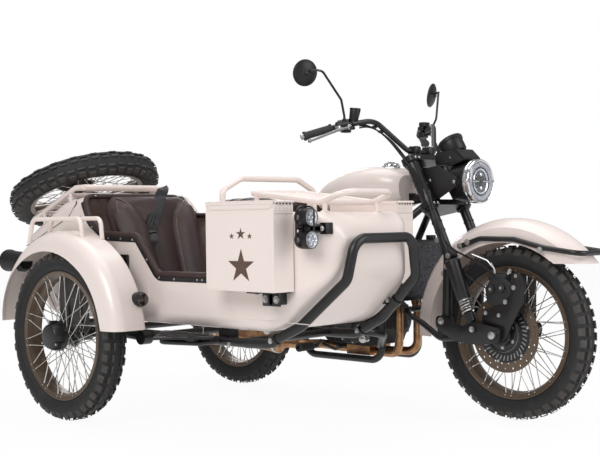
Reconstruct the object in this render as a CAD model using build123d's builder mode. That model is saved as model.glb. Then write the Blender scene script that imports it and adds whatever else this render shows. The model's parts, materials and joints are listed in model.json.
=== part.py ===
from build123d import *
import os
from math import cos, pi, radians, sin, tan

# A motorcycle with a sidecar bolted to its right-hand side, in millimetres.
# It is drawn from the front axle: +X forward, +Y to the rider's left, +Z up, the floor at Z = 0
# and the motorcycle's own middle plane at Y = 0.  write() moves every piece into the stored
# frame, whose origin is the middle of the footprint on the floor.

# ---------------------------------------------------------------- driving dimensions
WHEELBASE = 1572            # front axle to rear axle
SIDECAR_TRACK = 1148        # motorcycle's middle plane to the sidecar wheel's
SIDECAR_LEAD = 222          # sidecar axle ahead of the rear axle

FRONT_REACH = 352           # foremost point, at the mudguard rail
REAR_REACH = 2142           # rearmost point, at the spare tyre
LEFT_REACH = 475            # left mirror's edge
RIGHT_REACH = 1240          # sidecar hub cap's end

GAP = 0.3                   # seat between two pieces that are only laid together

# wheels
TYRE_RADIUS = 340
TYRE_HALF = 52
TREAD_HALF = 46
SHOULDER_DROP = 14
SIDEWALL_RISE = 42
RIM_RADIUS = 258
RIM_HALF = 38
RIM_FLANGE = 4
RIM_SEAT = 243
RIM_BED = 232
HUB_RADIUS = 27
HUB_HALF = 34
FLANGE_RADIUS = 50
FLANGE_THICK = 5
AXLE_RADIUS = 10
AXLE_PLAY = 0.5
SPOKES = 40
SPOKE_SIZE = 4
SPOKE_LEAN = 62             # degrees between a spoke's ends, seen along the axle
TREAD_DEPTH = 9             # the tyre's blocks stand this far above its carcass
TREAD_BARS = 36             # blocks round the tyre, on each half of the tread
BAR_SPAN = (3, 42)          # from the tyre's middle to the shoulder

# steering
RAKE = 26.2                 # degrees
STEM_FOOT = 31              # steering axis ahead of the front axle, on the floor
LEG_SPREAD = 108            # middle plane to a fork leg
LEG_RADIUS = 20
SLEEVE_RADIUS = 27
STEM_RADIUS = 12.5
HEAD_RADIUS = 28
HEAD_LOW = 846
HEAD_HIGH = 986
PIVOT = (-250, 381)         # leading link's pivot, X and Z
LINK_SPREAD = 136
SHOCK_SPREAD = 142
BAR_RADIUS = 11
GRIP_RADIUS = 16

# front mudguard
GUARD_RADIUS = 445
GUARD_HALF = 79
GUARD_WALL = 3
GUARD_SKIRT = 352

# sidecar body
TUB_MIDDLE = -729
TUB_HALF = 277
TUB_WALL = 6
TUB_FLOOR = 395
DECK_HEIGHT = 815
NOSE_X = -91
TAIL_X = -1872
RAIL_HEIGHT = 347
RAIL_RADIUS = 17
RAIL_OUT = -960
RAIL_IN = -490

# side boxes
BOX_FRONT = -219
BOX_REAR = -559
BOX_LOW = 545
BOX_HIGH = 854
BOX_OUT = -1100
BOX_IN = -358
BOX_WALL = 2.5
LID_DEPTH = 12

REAR_X = -WHEELBASE
SIDECAR_X = REAR_X + SIDECAR_LEAD
SIDECAR_Y = -SIDECAR_TRACK
ROW_SHIFT = ((REAR_REACH - FRONT_REACH) / 2, (RIGHT_REACH - LEFT_REACH) / 2, 0)

os.makedirs("parts", exist_ok=True)


def write(piece, name):
    """Move a finished piece into the stored frame, label it and write it."""
    placed = piece.part.moved(Location(ROW_SHIFT))
    placed.label = name
    export_step(placed, f"parts/{name}.step")


def steering_x(height):
    """Place of the steering axis at one height."""
    return STEM_FOOT - height * tan(radians(RAKE))


def along_stem(height, ahead, side=0):
    """Point beside the steering axis: `ahead` is measured square to it, in the middle plane."""
    tilt = radians(RAKE)
    return (steering_x(height) + ahead * cos(tilt), side, height + ahead * sin(tilt))


def tube(points, radius, bend=0):
    """Add a round bar whose straight runs are joined by arcs."""
    with BuildLine() as path:
        if len(points) > 2:
            FilletPolyline(*points, radius=bend)
        else:
            Line(*points)
    with BuildSketch(Plane(origin=path.line @ 0, z_dir=path.line % 0)) as section:
        Circle(radius)
    sweep(sections=section.sketch, path=path.line)


def slab(x, y, z, mode=Mode.ADD):
    """Add a box between two X, two Y and two Z values."""
    middle = ((x[0] + x[1]) / 2, (y[0] + y[1]) / 2, (z[0] + z[1]) / 2)
    with Locations(middle):
        Box(abs(x[1] - x[0]), abs(y[1] - y[0]), abs(z[1] - z[0]), mode=mode)


def side_plate(outline, y, bend=0, mode=Mode.ADD):
    """Add a plate drawn in X and Z, with its corners rounded, between two Y values."""
    with BuildSketch(Plane.XZ.offset(-max(y))) as face:
        with BuildLine():
            if bend:
                FilletPolyline(*outline, radius=bend, close=True)
            else:
                Polyline(*outline, close=True)
        make_face()
    extrude(to_extrude=face.sketch, amount=abs(y[1] - y[0]), mode=mode)


def rod(start, end, radius, mode=Mode.ADD):
    """Add a straight round bar between two points."""
    line = Vector(*end) - Vector(*start)
    with BuildSketch(Plane(origin=start, z_dir=line)) as section:
        Circle(radius)
    extrude(to_extrude=section.sketch, amount=line.length, mode=mode)


def ring(frame, outline):
    """Turn an outline of (along the axle, from the axle) points about the frame's X direction."""
    with BuildSketch(frame) as section:
        with BuildLine():
            Polyline(*outline, close=True)
        make_face()
    revolve(profiles=section.sketch, axis=Axis(frame.origin, frame.x_dir))


def wheel_frame(centre, axle=(0, 1, 0), across=(1, 0, 0)):
    """Plane through a wheel's axle: X along the axle, Y away from it."""
    return Plane(origin=centre, x_dir=axle, z_dir=across)


# ---------------------------------------------------------------- wheels
SPARE_TILT = 22             # degrees, its rear edge low
SPARE_CENTRE = (-1821, -722, 936)
WHEELS = {
    "front": wheel_frame((0, 0, TYRE_RADIUS)),
    "rear": wheel_frame((REAR_X, 0, TYRE_RADIUS)),
    "sidecar": wheel_frame((SIDECAR_X, SIDECAR_Y, TYRE_RADIUS)),
    "spare": wheel_frame(
        SPARE_CENTRE,
        (-sin(radians(SPARE_TILT)), 0, cos(radians(SPARE_TILT))),
        (cos(radians(SPARE_TILT)), 0, sin(radians(SPARE_TILT))),
    ),
}


def tyre(frame):
    """Tyre as a closed ring on the rim's bed, with two staggered rows of tread blocks."""
    bead = RIM_HALF - RIM_FLANGE - GAP
    shoulder = TYRE_RADIUS - SHOULDER_DROP - TREAD_DEPTH
    crown = TYRE_RADIUS - TREAD_DEPTH
    with BuildSketch(frame) as section:
        with BuildLine():
            ThreePointArc((bead, RIM_RADIUS), (TYRE_HALF, RIM_RADIUS + SIDEWALL_RISE), (TREAD_HALF, shoulder))
            ThreePointArc((TREAD_HALF, shoulder), (0, crown), (-TREAD_HALF, shoulder))
            ThreePointArc((-TREAD_HALF, shoulder), (-TYRE_HALF, RIM_RADIUS + SIDEWALL_RISE), (-bead, RIM_RADIUS))
            Polyline((-bead, RIM_RADIUS), (-bead, RIM_SEAT + GAP), (bead, RIM_SEAT + GAP), (bead, RIM_RADIUS))
        make_face()
    revolve(profiles=section.sketch, axis=Axis(frame.origin, frame.x_dir))
    lean = SHOULDER_DROP * BAR_SPAN[1] / TREAD_HALF ** 2
    pitch = 2 * pi / TREAD_BARS
    for side in (-1, 1):
        middle = side * sum(BAR_SPAN) / 2
        seats = []
        for number in range(TREAD_BARS):
            turn = pitch * (number + (0.25 if side > 0 else 0.75))
            out = frame.y_dir * cos(turn) + frame.z_dir * sin(turn)
            up = (out + frame.x_dir * side * lean).normalized()
            seats.append(Plane(origin=frame.origin + frame.x_dir * middle + out * (crown - 3),
                               x_dir=frame.x_dir - up * frame.x_dir.dot(up), z_dir=up))
        with Locations(*seats):
            Box(BAR_SPAN[1] - BAR_SPAN[0], pitch * TYRE_RADIUS * 0.72, TREAD_DEPTH + 4)


def rim(frame):
    """Channel rim, its hub and the crossed spokes between them."""
    outer = RIM_HALF
    inner = RIM_HALF - RIM_FLANGE
    ring(frame, [(outer, RIM_RADIUS), (inner, RIM_RADIUS), (inner, RIM_SEAT), (-inner, RIM_SEAT),
                 (-inner, RIM_RADIUS), (-outer, RIM_RADIUS), (-outer, RIM_SEAT - 5),
                 (-inner + 6, RIM_BED), (inner - 6, RIM_BED), (outer, RIM_SEAT - 5)])
    bore = AXLE_RADIUS + AXLE_PLAY
    web = HUB_HALF - FLANGE_THICK
    ring(frame, [(HUB_HALF, bore), (HUB_HALF, FLANGE_RADIUS), (web, FLANGE_RADIUS), (web - 6, HUB_RADIUS),
                 (-web + 6, HUB_RADIUS), (-web, FLANGE_RADIUS), (-HUB_HALF, FLANGE_RADIUS), (-HUB_HALF, bore)])
    places = []
    for number in range(SPOKES):
        side = 1 if number % 2 else -1
        lean = 1 if number % 4 < 2 else -1
        turn = 2 * pi * number / SPOKES
        near = turn + lean * radians(SPOKE_LEAN)
        foot_r = FLANGE_RADIUS - 7
        tip_r = RIM_BED + 3
        foot = frame.from_local_coords((side * (HUB_HALF - 3), foot_r * cos(near), foot_r * sin(near)))
        tip = frame.from_local_coords((side * (RIM_HALF - 12), tip_r * cos(turn), tip_r * sin(turn)))
        places.append((foot, tip))
    length = (places[0][1] - places[0][0]).length
    with Locations(*[Plane(origin=(foot + tip) / 2, x_dir=frame.x_dir, z_dir=tip - foot)
                     for foot, tip in places]):
        Box(SPOKE_SIZE, SPOKE_SIZE, length)


for name in ("front", "rear", "sidecar", "spare"):
    with BuildPart() as wheel_tyre:
        tyre(WHEELS[name])
    write(wheel_tyre, f"{name}_tyre")
    with BuildPart() as wheel_rim:
        rim(WHEELS[name])
    write(wheel_rim, f"{name}_rim")

DISC_Y = -72
DISC_RADIUS = 150
DISC_THICK = 5
DISC_HOLES = 24
CARRIER_RADIUS = 84

# front disc: a drilled ring on a dished carrier bolted to the hub's right flange
with BuildPart() as front_disc:
    with BuildSketch(Plane.XZ.offset(-DISC_Y)):
        with Locations((0, TYRE_RADIUS)):
            Circle(DISC_RADIUS)
            Circle(CARRIER_RADIUS + 14, mode=Mode.SUBTRACT)
            with PolarLocations(DISC_RADIUS - 14, DISC_HOLES):
                Circle(4, mode=Mode.SUBTRACT)
            with PolarLocations(DISC_RADIUS - 34, DISC_HOLES, start_angle=180 / DISC_HOLES):
                Circle(4, mode=Mode.SUBTRACT)
    extrude(amount=DISC_THICK)
    with BuildSketch(Plane.XZ.offset(-DISC_Y)):
        with Locations((0, TYRE_RADIUS)):
            Circle(CARRIER_RADIUS)
            with PolarLocations(CARRIER_RADIUS + 5, 10):
                Circle(13)
            Circle(AXLE_RADIUS + AXLE_PLAY, mode=Mode.SUBTRACT)
    extrude(amount=DISC_THICK)
    rod((0, -HUB_HALF, TYRE_RADIUS), (0, DISC_Y, TYRE_RADIUS), FLANGE_RADIUS - 8)
    rod((0, -HUB_HALF, TYRE_RADIUS), (0, DISC_Y - DISC_THICK, TYRE_RADIUS), AXLE_RADIUS + AXLE_PLAY,
        mode=Mode.SUBTRACT)
write(front_disc, "front_disc")

# rear sprocket and brake disc on the hub's two flanges
CHAIN_Y = 78
SPROCKET_RADIUS = 98
SPROCKET_TEETH = 40
with BuildPart() as rear_drive:
    with BuildSketch(Plane.XZ.offset(-CHAIN_Y - 3)):
        with Locations((REAR_X, TYRE_RADIUS)):
            Circle(SPROCKET_RADIUS)
            with PolarLocations(SPROCKET_RADIUS + 1, SPROCKET_TEETH):
                RegularPolygon(5, 6, mode=Mode.SUBTRACT)
            with PolarLocations(70, 5):
                Circle(14, mode=Mode.SUBTRACT)
            Circle(AXLE_RADIUS + AXLE_PLAY, mode=Mode.SUBTRACT)
    extrude(amount=6)
    with BuildSketch(Plane.XZ.offset(-CHAIN_Y + 3)):
        with Locations((REAR_X, TYRE_RADIUS)):
            Circle(FLANGE_RADIUS - 8)
            Circle(AXLE_RADIUS + AXLE_PLAY, mode=Mode.SUBTRACT)
    extrude(amount=CHAIN_Y - 3 - HUB_HALF)
write(rear_drive, "rear_sprocket")

# sidecar hub cap: a drum that tapers to a flat end, with three lugs round it
CAP_RADIUS = 46
CAP_PROFILE = (             # distance from the hub's face, radius
    (0, AXLE_RADIUS + 6), (0, CAP_RADIUS), (16, CAP_RADIUS), (26, CAP_RADIUS - 8), (50, CAP_RADIUS - 11),
    (58, CAP_RADIUS - 15), (58, 0), (16, 0), (16, AXLE_RADIUS + 6),
)
with BuildPart() as hub_cap:
    face = SIDECAR_Y - HUB_HALF
    ring(wheel_frame((SIDECAR_X, face, TYRE_RADIUS), (0, -1, 0)), CAP_PROFILE)
    with BuildSketch(Plane.XZ.offset(-face)):
        with Locations((SIDECAR_X, TYRE_RADIUS)):
            with PolarLocations(CAP_RADIUS - 2, 3, start_angle=90):
                RectangleRounded(20, 22, 5)
            Circle(CAP_RADIUS - 10, mode=Mode.SUBTRACT)
    extrude(amount=20)
write(hub_cap, "sidecar_hub_cap")

# ---------------------------------------------------------------- steering
LEG_TOP = (-429, 1036)
SLEEVE_END = (-318, 824)
LEG_BEND = (-238, 648)
UPPER_CLAMP = 1004
LOWER_CLAMP = 818
CLAMP_THICK = 24
LEG_AHEAD = 45

with BuildPart() as fork:
    for side in (-LEG_SPREAD, LEG_SPREAD):
        rod((SLEEVE_END[0], side, SLEEVE_END[1]), (LEG_TOP[0], side, LEG_TOP[1]), SLEEVE_RADIUS)
        tube([(SLEEVE_END[0], side, SLEEVE_END[1]), (LEG_BEND[0], side, LEG_BEND[1]),
              (PIVOT[0], side, PIVOT[1])], LEG_RADIUS, 120)
        rod((PIVOT[0], side - 14, PIVOT[1]), (PIVOT[0], side + 14, PIVOT[1]), LEG_RADIUS + 6)
    for height in (UPPER_CLAMP, LOWER_CLAMP):
        with BuildSketch(Plane(origin=along_stem(height, 0), x_dir=(0, 1, 0),
                               z_dir=(-sin(radians(RAKE)), 0, cos(radians(RAKE))))):
            with BuildLine():
                FilletPolyline((-LEG_SPREAD - 34, -LEG_AHEAD - 34), (LEG_SPREAD + 34, -LEG_AHEAD - 34),
                               (LEG_SPREAD + 34, -LEG_AHEAD + 24), (30, 34), (-30, 34),
                               (-LEG_SPREAD - 34, -LEG_AHEAD + 24), radius=18, close=True)
            make_face()
        extrude(amount=CLAMP_THICK / 2, both=True)
    rod(along_stem(LOWER_CLAMP, 0), along_stem(UPPER_CLAMP + 22, 0), STEM_RADIUS)
    for side in (-1, 1):
        rod((-205, side * (LEG_SPREAD - 2), 640), (-205, side * (SHOCK_SPREAD + 16), 640), 9)
        rod((-206, side * LEG_SPREAD, 641), (-238, side * LEG_SPREAD, 655), 12)
write(fork, "fork")

SHOCK_TOP = (-205, 640)
SHOCK_FOOT = (-96, 357)
SHOCK_PIN = 9
SPRING_TURNS = 7

# leading link: one bent tube that carries the axle and passes behind the wheel
with BuildPart() as leading_link:
    tube([(18, LINK_SPREAD, TYRE_RADIUS), (-110, LINK_SPREAD, 322), (-262, LINK_SPREAD, 310),
          (-350, LINK_SPREAD, 366), (-462, LINK_SPREAD - 6, 413), (-462, -LINK_SPREAD + 6, 413),
          (-350, -LINK_SPREAD, 366), (-262, -LINK_SPREAD, 310), (-110, -LINK_SPREAD, 322),
          (18, -LINK_SPREAD, TYRE_RADIUS)], 12, [60, 60, 60, 60, 60, 60, 60, 60])
    for side in (-1, 1):
        rod((0, side * (LINK_SPREAD - 14), TYRE_RADIUS), (0, side * (LINK_SPREAD + 14), TYRE_RADIUS), 26)
        side_plate([(-275, 306), (-225, 306), (-228, 392), (-272, 392)],
                   (side * (LINK_SPREAD - 4), side * (LINK_SPREAD + 4)), 8)
        rod((PIVOT[0], side * (LEG_SPREAD + LEG_RADIUS + 1), PIVOT[1]),
            (PIVOT[0], side * (LINK_SPREAD + 10), PIVOT[1]), 18)
        side_plate([(-126, 318), (-76, 318), (-80, 374), (-112, 374)],
                   (side * (LINK_SPREAD - 20), side * (LINK_SPREAD - 8)), 6)
        rod((SHOCK_FOOT[0], side * (LINK_SPREAD - 18), SHOCK_FOOT[1]),
            (SHOCK_FOOT[0], side * (SHOCK_SPREAD + 16), SHOCK_FOOT[1]), SHOCK_PIN)
    rod((0, -LINK_SPREAD - 22, TYRE_RADIUS), (0, LINK_SPREAD + 22, TYRE_RADIUS), AXLE_RADIUS)
write(leading_link, "leading_link")


def shock(top, foot, turns=SPRING_TURNS, coil=24, body=14):
    """Spring leg: eyes at both ends, a damper body, its rod and a spring of stacked turns."""
    run = Vector(*foot) - Vector(*top)
    way = run.normalized()
    low = Vector(*top) + way * (run.length - 16)
    rod(top, tuple(low), body - 5)
    rod(tuple(Vector(*top) + way * 10), tuple(Vector(*top) + way * run.length * 0.42), body)
    first = run.length * 0.2
    pitch = (run.length * 0.9 - first) / (turns - 1)
    for turn in range(turns):
        centre = Vector(*top) + way * (first + turn * pitch)
        rod(tuple(centre - way * pitch * 0.28), tuple(centre + way * pitch * 0.28), coil)
    for end in (top, foot):
        rod((end[0], end[1] - 12, end[2]), (end[0], end[1] + 12, end[2]), 15)
        rod((end[0], end[1] - 13, end[2]), (end[0], end[1] + 13, end[2]), SHOCK_PIN + GAP, mode=Mode.SUBTRACT)


with BuildPart() as fork_shocks:
    for side in (-SHOCK_SPREAD, SHOCK_SPREAD):
        shock((SHOCK_TOP[0], side, SHOCK_TOP[1]), (SHOCK_FOOT[0], side, SHOCK_FOOT[1]))
write(fork_shocks, "fork_shocks")

# handlebar on two risers above the upper clamp
BAR_HALF = [(-452, 84, 1062), (-540, 200, 1192), (-682, 286, 1168), (-748, 412, 1126)]
BAR_PATH = [(x, -y, z) for x, y, z in reversed(BAR_HALF)] + BAR_HALF
BAR_BENDS = [60, 70, 45, 45, 70, 60]
with BuildPart() as handlebar:
    tube(BAR_PATH, BAR_RADIUS, BAR_BENDS)
    for side in (-46, 46):
        rod(along_stem(UPPER_CLAMP + 18, 18, side), (-452, side, 1062), 13)
        rod((-452, side - 14, 1062), (-452, side + 14, 1062), 20)
write(handlebar, "handlebar")

with BuildPart() as bar_clearance:
    tube(BAR_PATH, BAR_RADIUS + GAP, BAR_BENDS)

with BuildPart() as grips:
    for side in (-1, 1):
        start = Vector(-688, side * 297.5, 1164.2)
        end = Vector(-748, side * 412, 1126)
        way = (end - start).normalized()
        rod(tuple(start), tuple(start + way * 118), GRIP_RADIUS)
        rod(tuple(start), tuple(start + way * 5), GRIP_RADIUS + 4)
        rod(tuple(start + way * 118), tuple(start + way * 136), GRIP_RADIUS - 2)
    add(bar_clearance.part, mode=Mode.SUBTRACT)
write(grips, "grips")

# switch housings, master cylinder and levers
with BuildPart() as controls:
    for side in (-1, 1):
        rod((-636, side * 258, 1178), (-672, side * 280, 1170.5), 21)
        tube([(-640, side * 262, 1158), (-628, side * 300, 1150), (-690, side * 398, 1112)], 6, 14)
    rod((-630, -252, 1186), (-622, -248, 1232), 22)
    add(bar_clearance.part, mode=Mode.SUBTRACT)
write(controls, "controls")

LAMP_CENTRE = (-168, 0, 932)
LAMP_RADIUS = 86
with BuildPart() as headlamp:
    with BuildSketch(Plane.XZ):
        with BuildLine():
            Polyline((-300, 932), (-300, 972), (-268, 1004), (-190, 932 + LAMP_RADIUS),
                     (-164, 932 + LAMP_RADIUS), (-164, 932 + LAMP_RADIUS - 9), (-158, 932 + 60), (-154, 932),
                     close=True)
        make_face()
    revolve(axis=Axis(LAMP_CENTRE, (1, 0, 0)))
    for side in (-1, 1):
        side_plate([(-372, 960), (-352, 918), (-210, 906), (-196, 932), (-210, 956)],
                   (side * (LAMP_RADIUS - 4), side * (LAMP_RADIUS + 1)), 6)
    # cowl above the lamp that carries the gauge
    side_plate([(-336, 1000), (-336, 1052), (-236, 1066), (-186, 1018), (-250, 1000)], (-58, 58), 12)
    add(fork.part, mode=Mode.SUBTRACT)
write(headlamp, "headlamp")

with BuildPart() as gauge:
    rod((-316, 0, 1068), (-296, 0, 1102), 50)
    rod((-296, 0, 1102), (-293, 0, 1107), 54)
    add(headlamp.part, mode=Mode.SUBTRACT)
write(gauge, "gauge")

MIRROR_RADIUS = 54
with BuildPart() as mirrors:
    for side in (-1, 1):
        tube([(-662, side * 270, 1188), (-640, side * 290, 1286), (-650, side * 390, 1386),
              (-697, side * 418, 1388)], 5, [30, 30])
        rod((-694, side * 418, 1387), (-716, side * 422, 1384), MIRROR_RADIUS)
    add(controls.part, mode=Mode.SUBTRACT)
write(mirrors, "mirrors")

# front mudguard: an arched channel, cut level at its tip and at its tail
GUARD_TIP_Z = 613
GUARD_TAIL_Z = 308
with BuildPart() as front_mudguard:
    with BuildSketch(Plane.YZ):
        with BuildLine():
            top = TYRE_RADIUS + GUARD_RADIUS
            ThreePointArc((-GUARD_HALF, top - 36), (0, top), (GUARD_HALF, top - 36))
            Polyline((GUARD_HALF, top - 36), (GUARD_HALF + 4, TYRE_RADIUS + GUARD_SKIRT),
                     (GUARD_HALF + 1, TYRE_RADIUS + GUARD_SKIRT), (GUARD_HALF - GUARD_WALL, top - 38))
            ThreePointArc((GUARD_HALF - GUARD_WALL, top - 38), (0, top - GUARD_WALL),
                          (-GUARD_HALF + GUARD_WALL, top - 38))
            Polyline((-GUARD_HALF + GUARD_WALL, top - 38), (-GUARD_HALF - 1, TYRE_RADIUS + GUARD_SKIRT),
                     (-GUARD_HALF - 4, TYRE_RADIUS + GUARD_SKIRT), (-GUARD_HALF, top - 36))
        make_face()
    revolve(axis=Axis((0, 0, TYRE_RADIUS), (0, 1, 0)))
    with BuildSketch(Plane.XZ):
        with BuildLine():
            Polyline((-520, GUARD_TAIL_Z), (-300, GUARD_TAIL_Z), (-200, 620), (0, 672), (223, GUARD_TIP_Z),
                     (480, GUARD_TIP_Z), (480, 900), (-520, 900), close=True)
        make_face()
    extrude(amount=200, both=True, mode=Mode.INTERSECT)
    for side in (-1, 1):
        slab((-262, -222), (side * (GUARD_HALF - 1), side * 92), (612, 650))
    add(fork.part, mode=Mode.SUBTRACT)
write(front_mudguard, "front_mudguard")

FRONT_RAIL = ((342, 97, 652), (190, 97, 672), (60, 97, 704), (-96, 97, 706), (-186, 97, 676))
with BuildPart() as front_rail:
    tube([(x, -y, z) for x, y, z in reversed(FRONT_RAIL)] + [*FRONT_RAIL], 10,
         [60, 60, 60, 40, 40, 60, 60, 60])
    for side in (-1, 1):
        for x, z in ((178, 674), (-150, 688)):
            rod((x, side * 79, z), (x, side * 97, z), 7)
    add(front_mudguard.part, mode=Mode.SUBTRACT)
write(front_rail, "front_rail")

with BuildPart() as front_caliper:
    side_plate([(-40, 448), (46, 440), (66, 520), (30, 548), (-30, 530)],
               (DISC_Y - DISC_THICK - 34, DISC_Y - DISC_THICK - 6), 12)
    side_plate([(-24, 316), (24, 316), (34, 470), (-34, 470)], (DISC_Y - DISC_THICK - 34, DISC_Y - DISC_THICK - 28), 16)
    rod((0, -120, TYRE_RADIUS), (0, -90, TYRE_RADIUS), AXLE_RADIUS + GAP, mode=Mode.SUBTRACT)
    side_plate([(-30, 500), (56, 500), (56, 530), (-20, 530)], (DISC_Y - DISC_THICK - 8, DISC_Y + 18), 6)
write(front_caliper, "front_caliper")

# ---------------------------------------------------------------- motorcycle frame and engine
SWING_PIVOT = (-1040, 320)
CRADLE_Y = 122
TANK_SLOT = 894
RADIATOR_BACK = -526
SHOCK_HIGH = (-1400, 770)
SHOCK_LOW = (-1520, 392)
SIDE_STEP = 136
REAR_GUARD_RADIUS = 392
CRADLE_Z = 196
FRAME_TUBE = 15

with BuildPart() as main_frame:
    rod(along_stem(HEAD_LOW, 0), along_stem(HEAD_HIGH, 0), HEAD_RADIUS)
    tube([along_stem(880, -10), (-560, 0, 858), (-900, 0, 800), (-1010, 0, 740), (-1010, 0, 400)], 20,
         [60, 60, 60])
    for side in (-1, 1):
        tube([along_stem(862, -8, side * 14), (-575, side * CRADLE_Y, 690), (-575, side * CRADLE_Y, CRADLE_Z),
              (-1000, side * CRADLE_Y, CRADLE_Z), (-1040, side * CRADLE_Y, 330),
              (-1300, side * 108, 790)], FRAME_TUBE, [60, 60, 60, 40])
        tube([(-880, side * 30, 796), (-1000, side * 108, 796), (-1640, side * 108, 812)], 13, [50])
    rod((SWING_PIVOT[0], -CRADLE_Y - 16, SWING_PIVOT[1]), (SWING_PIVOT[0], CRADLE_Y + 16, SWING_PIVOT[1]), 16)
    rod((-1010, -CRADLE_Y, 420), (-1010, CRADLE_Y, 420), 13)
    rod((-1420, -108, 806), (-1420, 108, 806), 11)
    rod((-1620, -108, 811), (-1620, 108, 811), 11)
    rod(along_stem(HEAD_LOW - 8, 0), along_stem(HEAD_HIGH + 8, 0), STEM_RADIUS + AXLE_PLAY,
        mode=Mode.SUBTRACT)
    # tank cushion, radiator pegs, shock ears and the rear mudguard's stays
    slab((-730, -690), (-26 + GAP, 26 - GAP), (815, TANK_SLOT - GAP))
    for side in (-1, 1):
        for z in (480, 640):
            rod((-575, side * CRADLE_Y, z), (RADIATOR_BACK - GAP, side * CRADLE_Y, z), 6)
        slab((SHOCK_HIGH[0] - 12, SHOCK_HIGH[0] + 12), (side * 108, side * 120), (SHOCK_HIGH[1] - 14, 806))
        rod((SHOCK_HIGH[0], side * 110, SHOCK_HIGH[1]), (SHOCK_HIGH[0], side * 152, SHOCK_HIGH[1]), SHOCK_PIN)
    for x, z in ((-1420, 806), (-1620, 811)):
        slab((x - 5, x + 5), (-20, 20), (690, z))
    rod((REAR_X, -24, TYRE_RADIUS), (REAR_X, 24, TYRE_RADIUS), REAR_GUARD_RADIUS + GAP, mode=Mode.SUBTRACT)
write(main_frame, "main_frame")

# engine: crankcase with two round covers, inclined twin cylinders and the head
with BuildPart() as engine:
    side_plate([(-640, 250), (-900, 250), (-985, 330), (-960, 450), (-840, 480), (-640, 430), (-610, 320)],
               (-96, 96), 24)
    side_plate([(-640, 410), (-800, 440), (-775, 700), (-625, 690)], (-98, 98), 14)
    for level in range(5):
        height = 500 + level * 20
        side_plate([(-628, height), (-792, height + 8), (-792, height + 14), (-628, height + 6)], (-106, 106))
    for side in (-1, 1):
        rod((-725, side * 94, 350), (-725, side * 150, 350), 88)
        rod((-725, side * 150, 350), (-725, side * 160, 350), 62)
        rod((-880, side * 94, 350), (-880, side * 132, 350), 64)
    slab((-1010, -905), (CHAIN_Y - 16, 98), (200, 520), mode=Mode.SUBTRACT)
write(engine, "engine")

RADIATOR_ROWS = 16
with BuildPart() as radiator:
    slab((-522, -484), (-172, 172), (452, 692))
    for row in range(RADIATOR_ROWS):
        z = 466 + row * 212 / (RADIATOR_ROWS - 1)
        slab((-487, -480), (-164, 164), (z - 3, z + 3), mode=Mode.SUBTRACT)
    slab((RADIATOR_BACK, -520), (-140, 140), (460, 500))
    slab((RADIATOR_BACK, -520), (-140, 140), (620, 660))
    slab((-526, -478), (-190, -172), (450, 694))
    slab((-526, -478), (172, 190), (450, 694))
write(radiator, "radiator")

HEADER_Y = 62
TAIL_RADIUS = 20
with BuildPart() as exhaust:
    for side in (-HEADER_Y, HEADER_Y):
        tube([(-627, side, 505), (-562, side, 496), (-532, side, 400), (-534, side, 222),
              (-700, side * 0.5, 218)], 18, [30, 60, 50])
    slab((-690, -820), (-70, 70), (204, 244))
    tube([(-810, 0, 224), (-880, -20, 224), (-950, -90, 240), (-1000, -178, 242), (-1150, -184, 240)], 20,
         [60, 50, 50])
    rod((-1120, -182, 239), (-1520, -190, 268), 44)
    rod((-1500, -190, 268), (-1526, -190, 268), TAIL_RADIUS + 6)
    rod((-1520, -190, 268), (-1556, -190, 268), TAIL_RADIUS)
    rod((-1500, -190, 268), (-1557, -190, 268), TAIL_RADIUS - 3, mode=Mode.SUBTRACT)
write(exhaust, "exhaust")

# fuel tank: rounded sections from the steering head to the saddle
TANK_SECTIONS = (           # X, half width, underside, top, corner
    (-500, 92, 862, 968, 44),
    (-560, 128, 838, 996, 60),
    (-690, 152, 826, 1006, 76),
    (-840, 140, 826, 984, 70),
    (-968, 92, 836, 926, 40),
)
TANK_CAP_X = -616
TANK_CAP_Z = 1004
with BuildPart() as fuel_tank:
    for x, half, low, high, corner in TANK_SECTIONS:
        with BuildSketch(Plane.YZ.offset(x)):
            with Locations((0, (low + high) / 2)):
                RectangleRounded(2 * half, high - low, corner)
    loft()
    slab((-980, -480), (-26, 26), (780, TANK_SLOT), mode=Mode.SUBTRACT)
write(fuel_tank, "fuel_tank")

with BuildPart() as tank_cap:
    rod((TANK_CAP_X, 0, TANK_CAP_Z - 8), (TANK_CAP_X, 0, TANK_CAP_Z + 14), 38)
    rod((TANK_CAP_X, 0, TANK_CAP_Z + 14), (TANK_CAP_X, 0, TANK_CAP_Z + 19), 30)
    add(fuel_tank.part, mode=Mode.SUBTRACT)
write(tank_cap, "tank_cap")

with BuildPart() as saddle:
    side_plate([(-985, 830), (-1010, 905), (-1180, 862), (-1300, 858), (-1420, 892), (-1640, 888),
                (-1690, 850), (-1600, 825), (-1300, 818)], (-128, 128), 14)
    fillet(saddle.edges().filter_by(Axis.Y, reverse=True).group_by(Axis.Y)[0], 12)
    fillet(saddle.edges().filter_by(Axis.Y, reverse=True).group_by(Axis.Y)[-1], 12)
write(saddle, "saddle")

with BuildPart() as side_covers:
    for y in ((-147, -135), (135, 147)):
        side_plate([(-1000, 770), (-1030, 560), (-1150, 500), (-1270, 660), (-1320, 770)], y, 24)
    for side in (-1, 1):
        rod((-1170, side * 115, 560), (-1170, side * 137, 560), 10)
    add(main_frame.part, mode=Mode.SUBTRACT)
write(side_covers, "side_covers")

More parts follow.
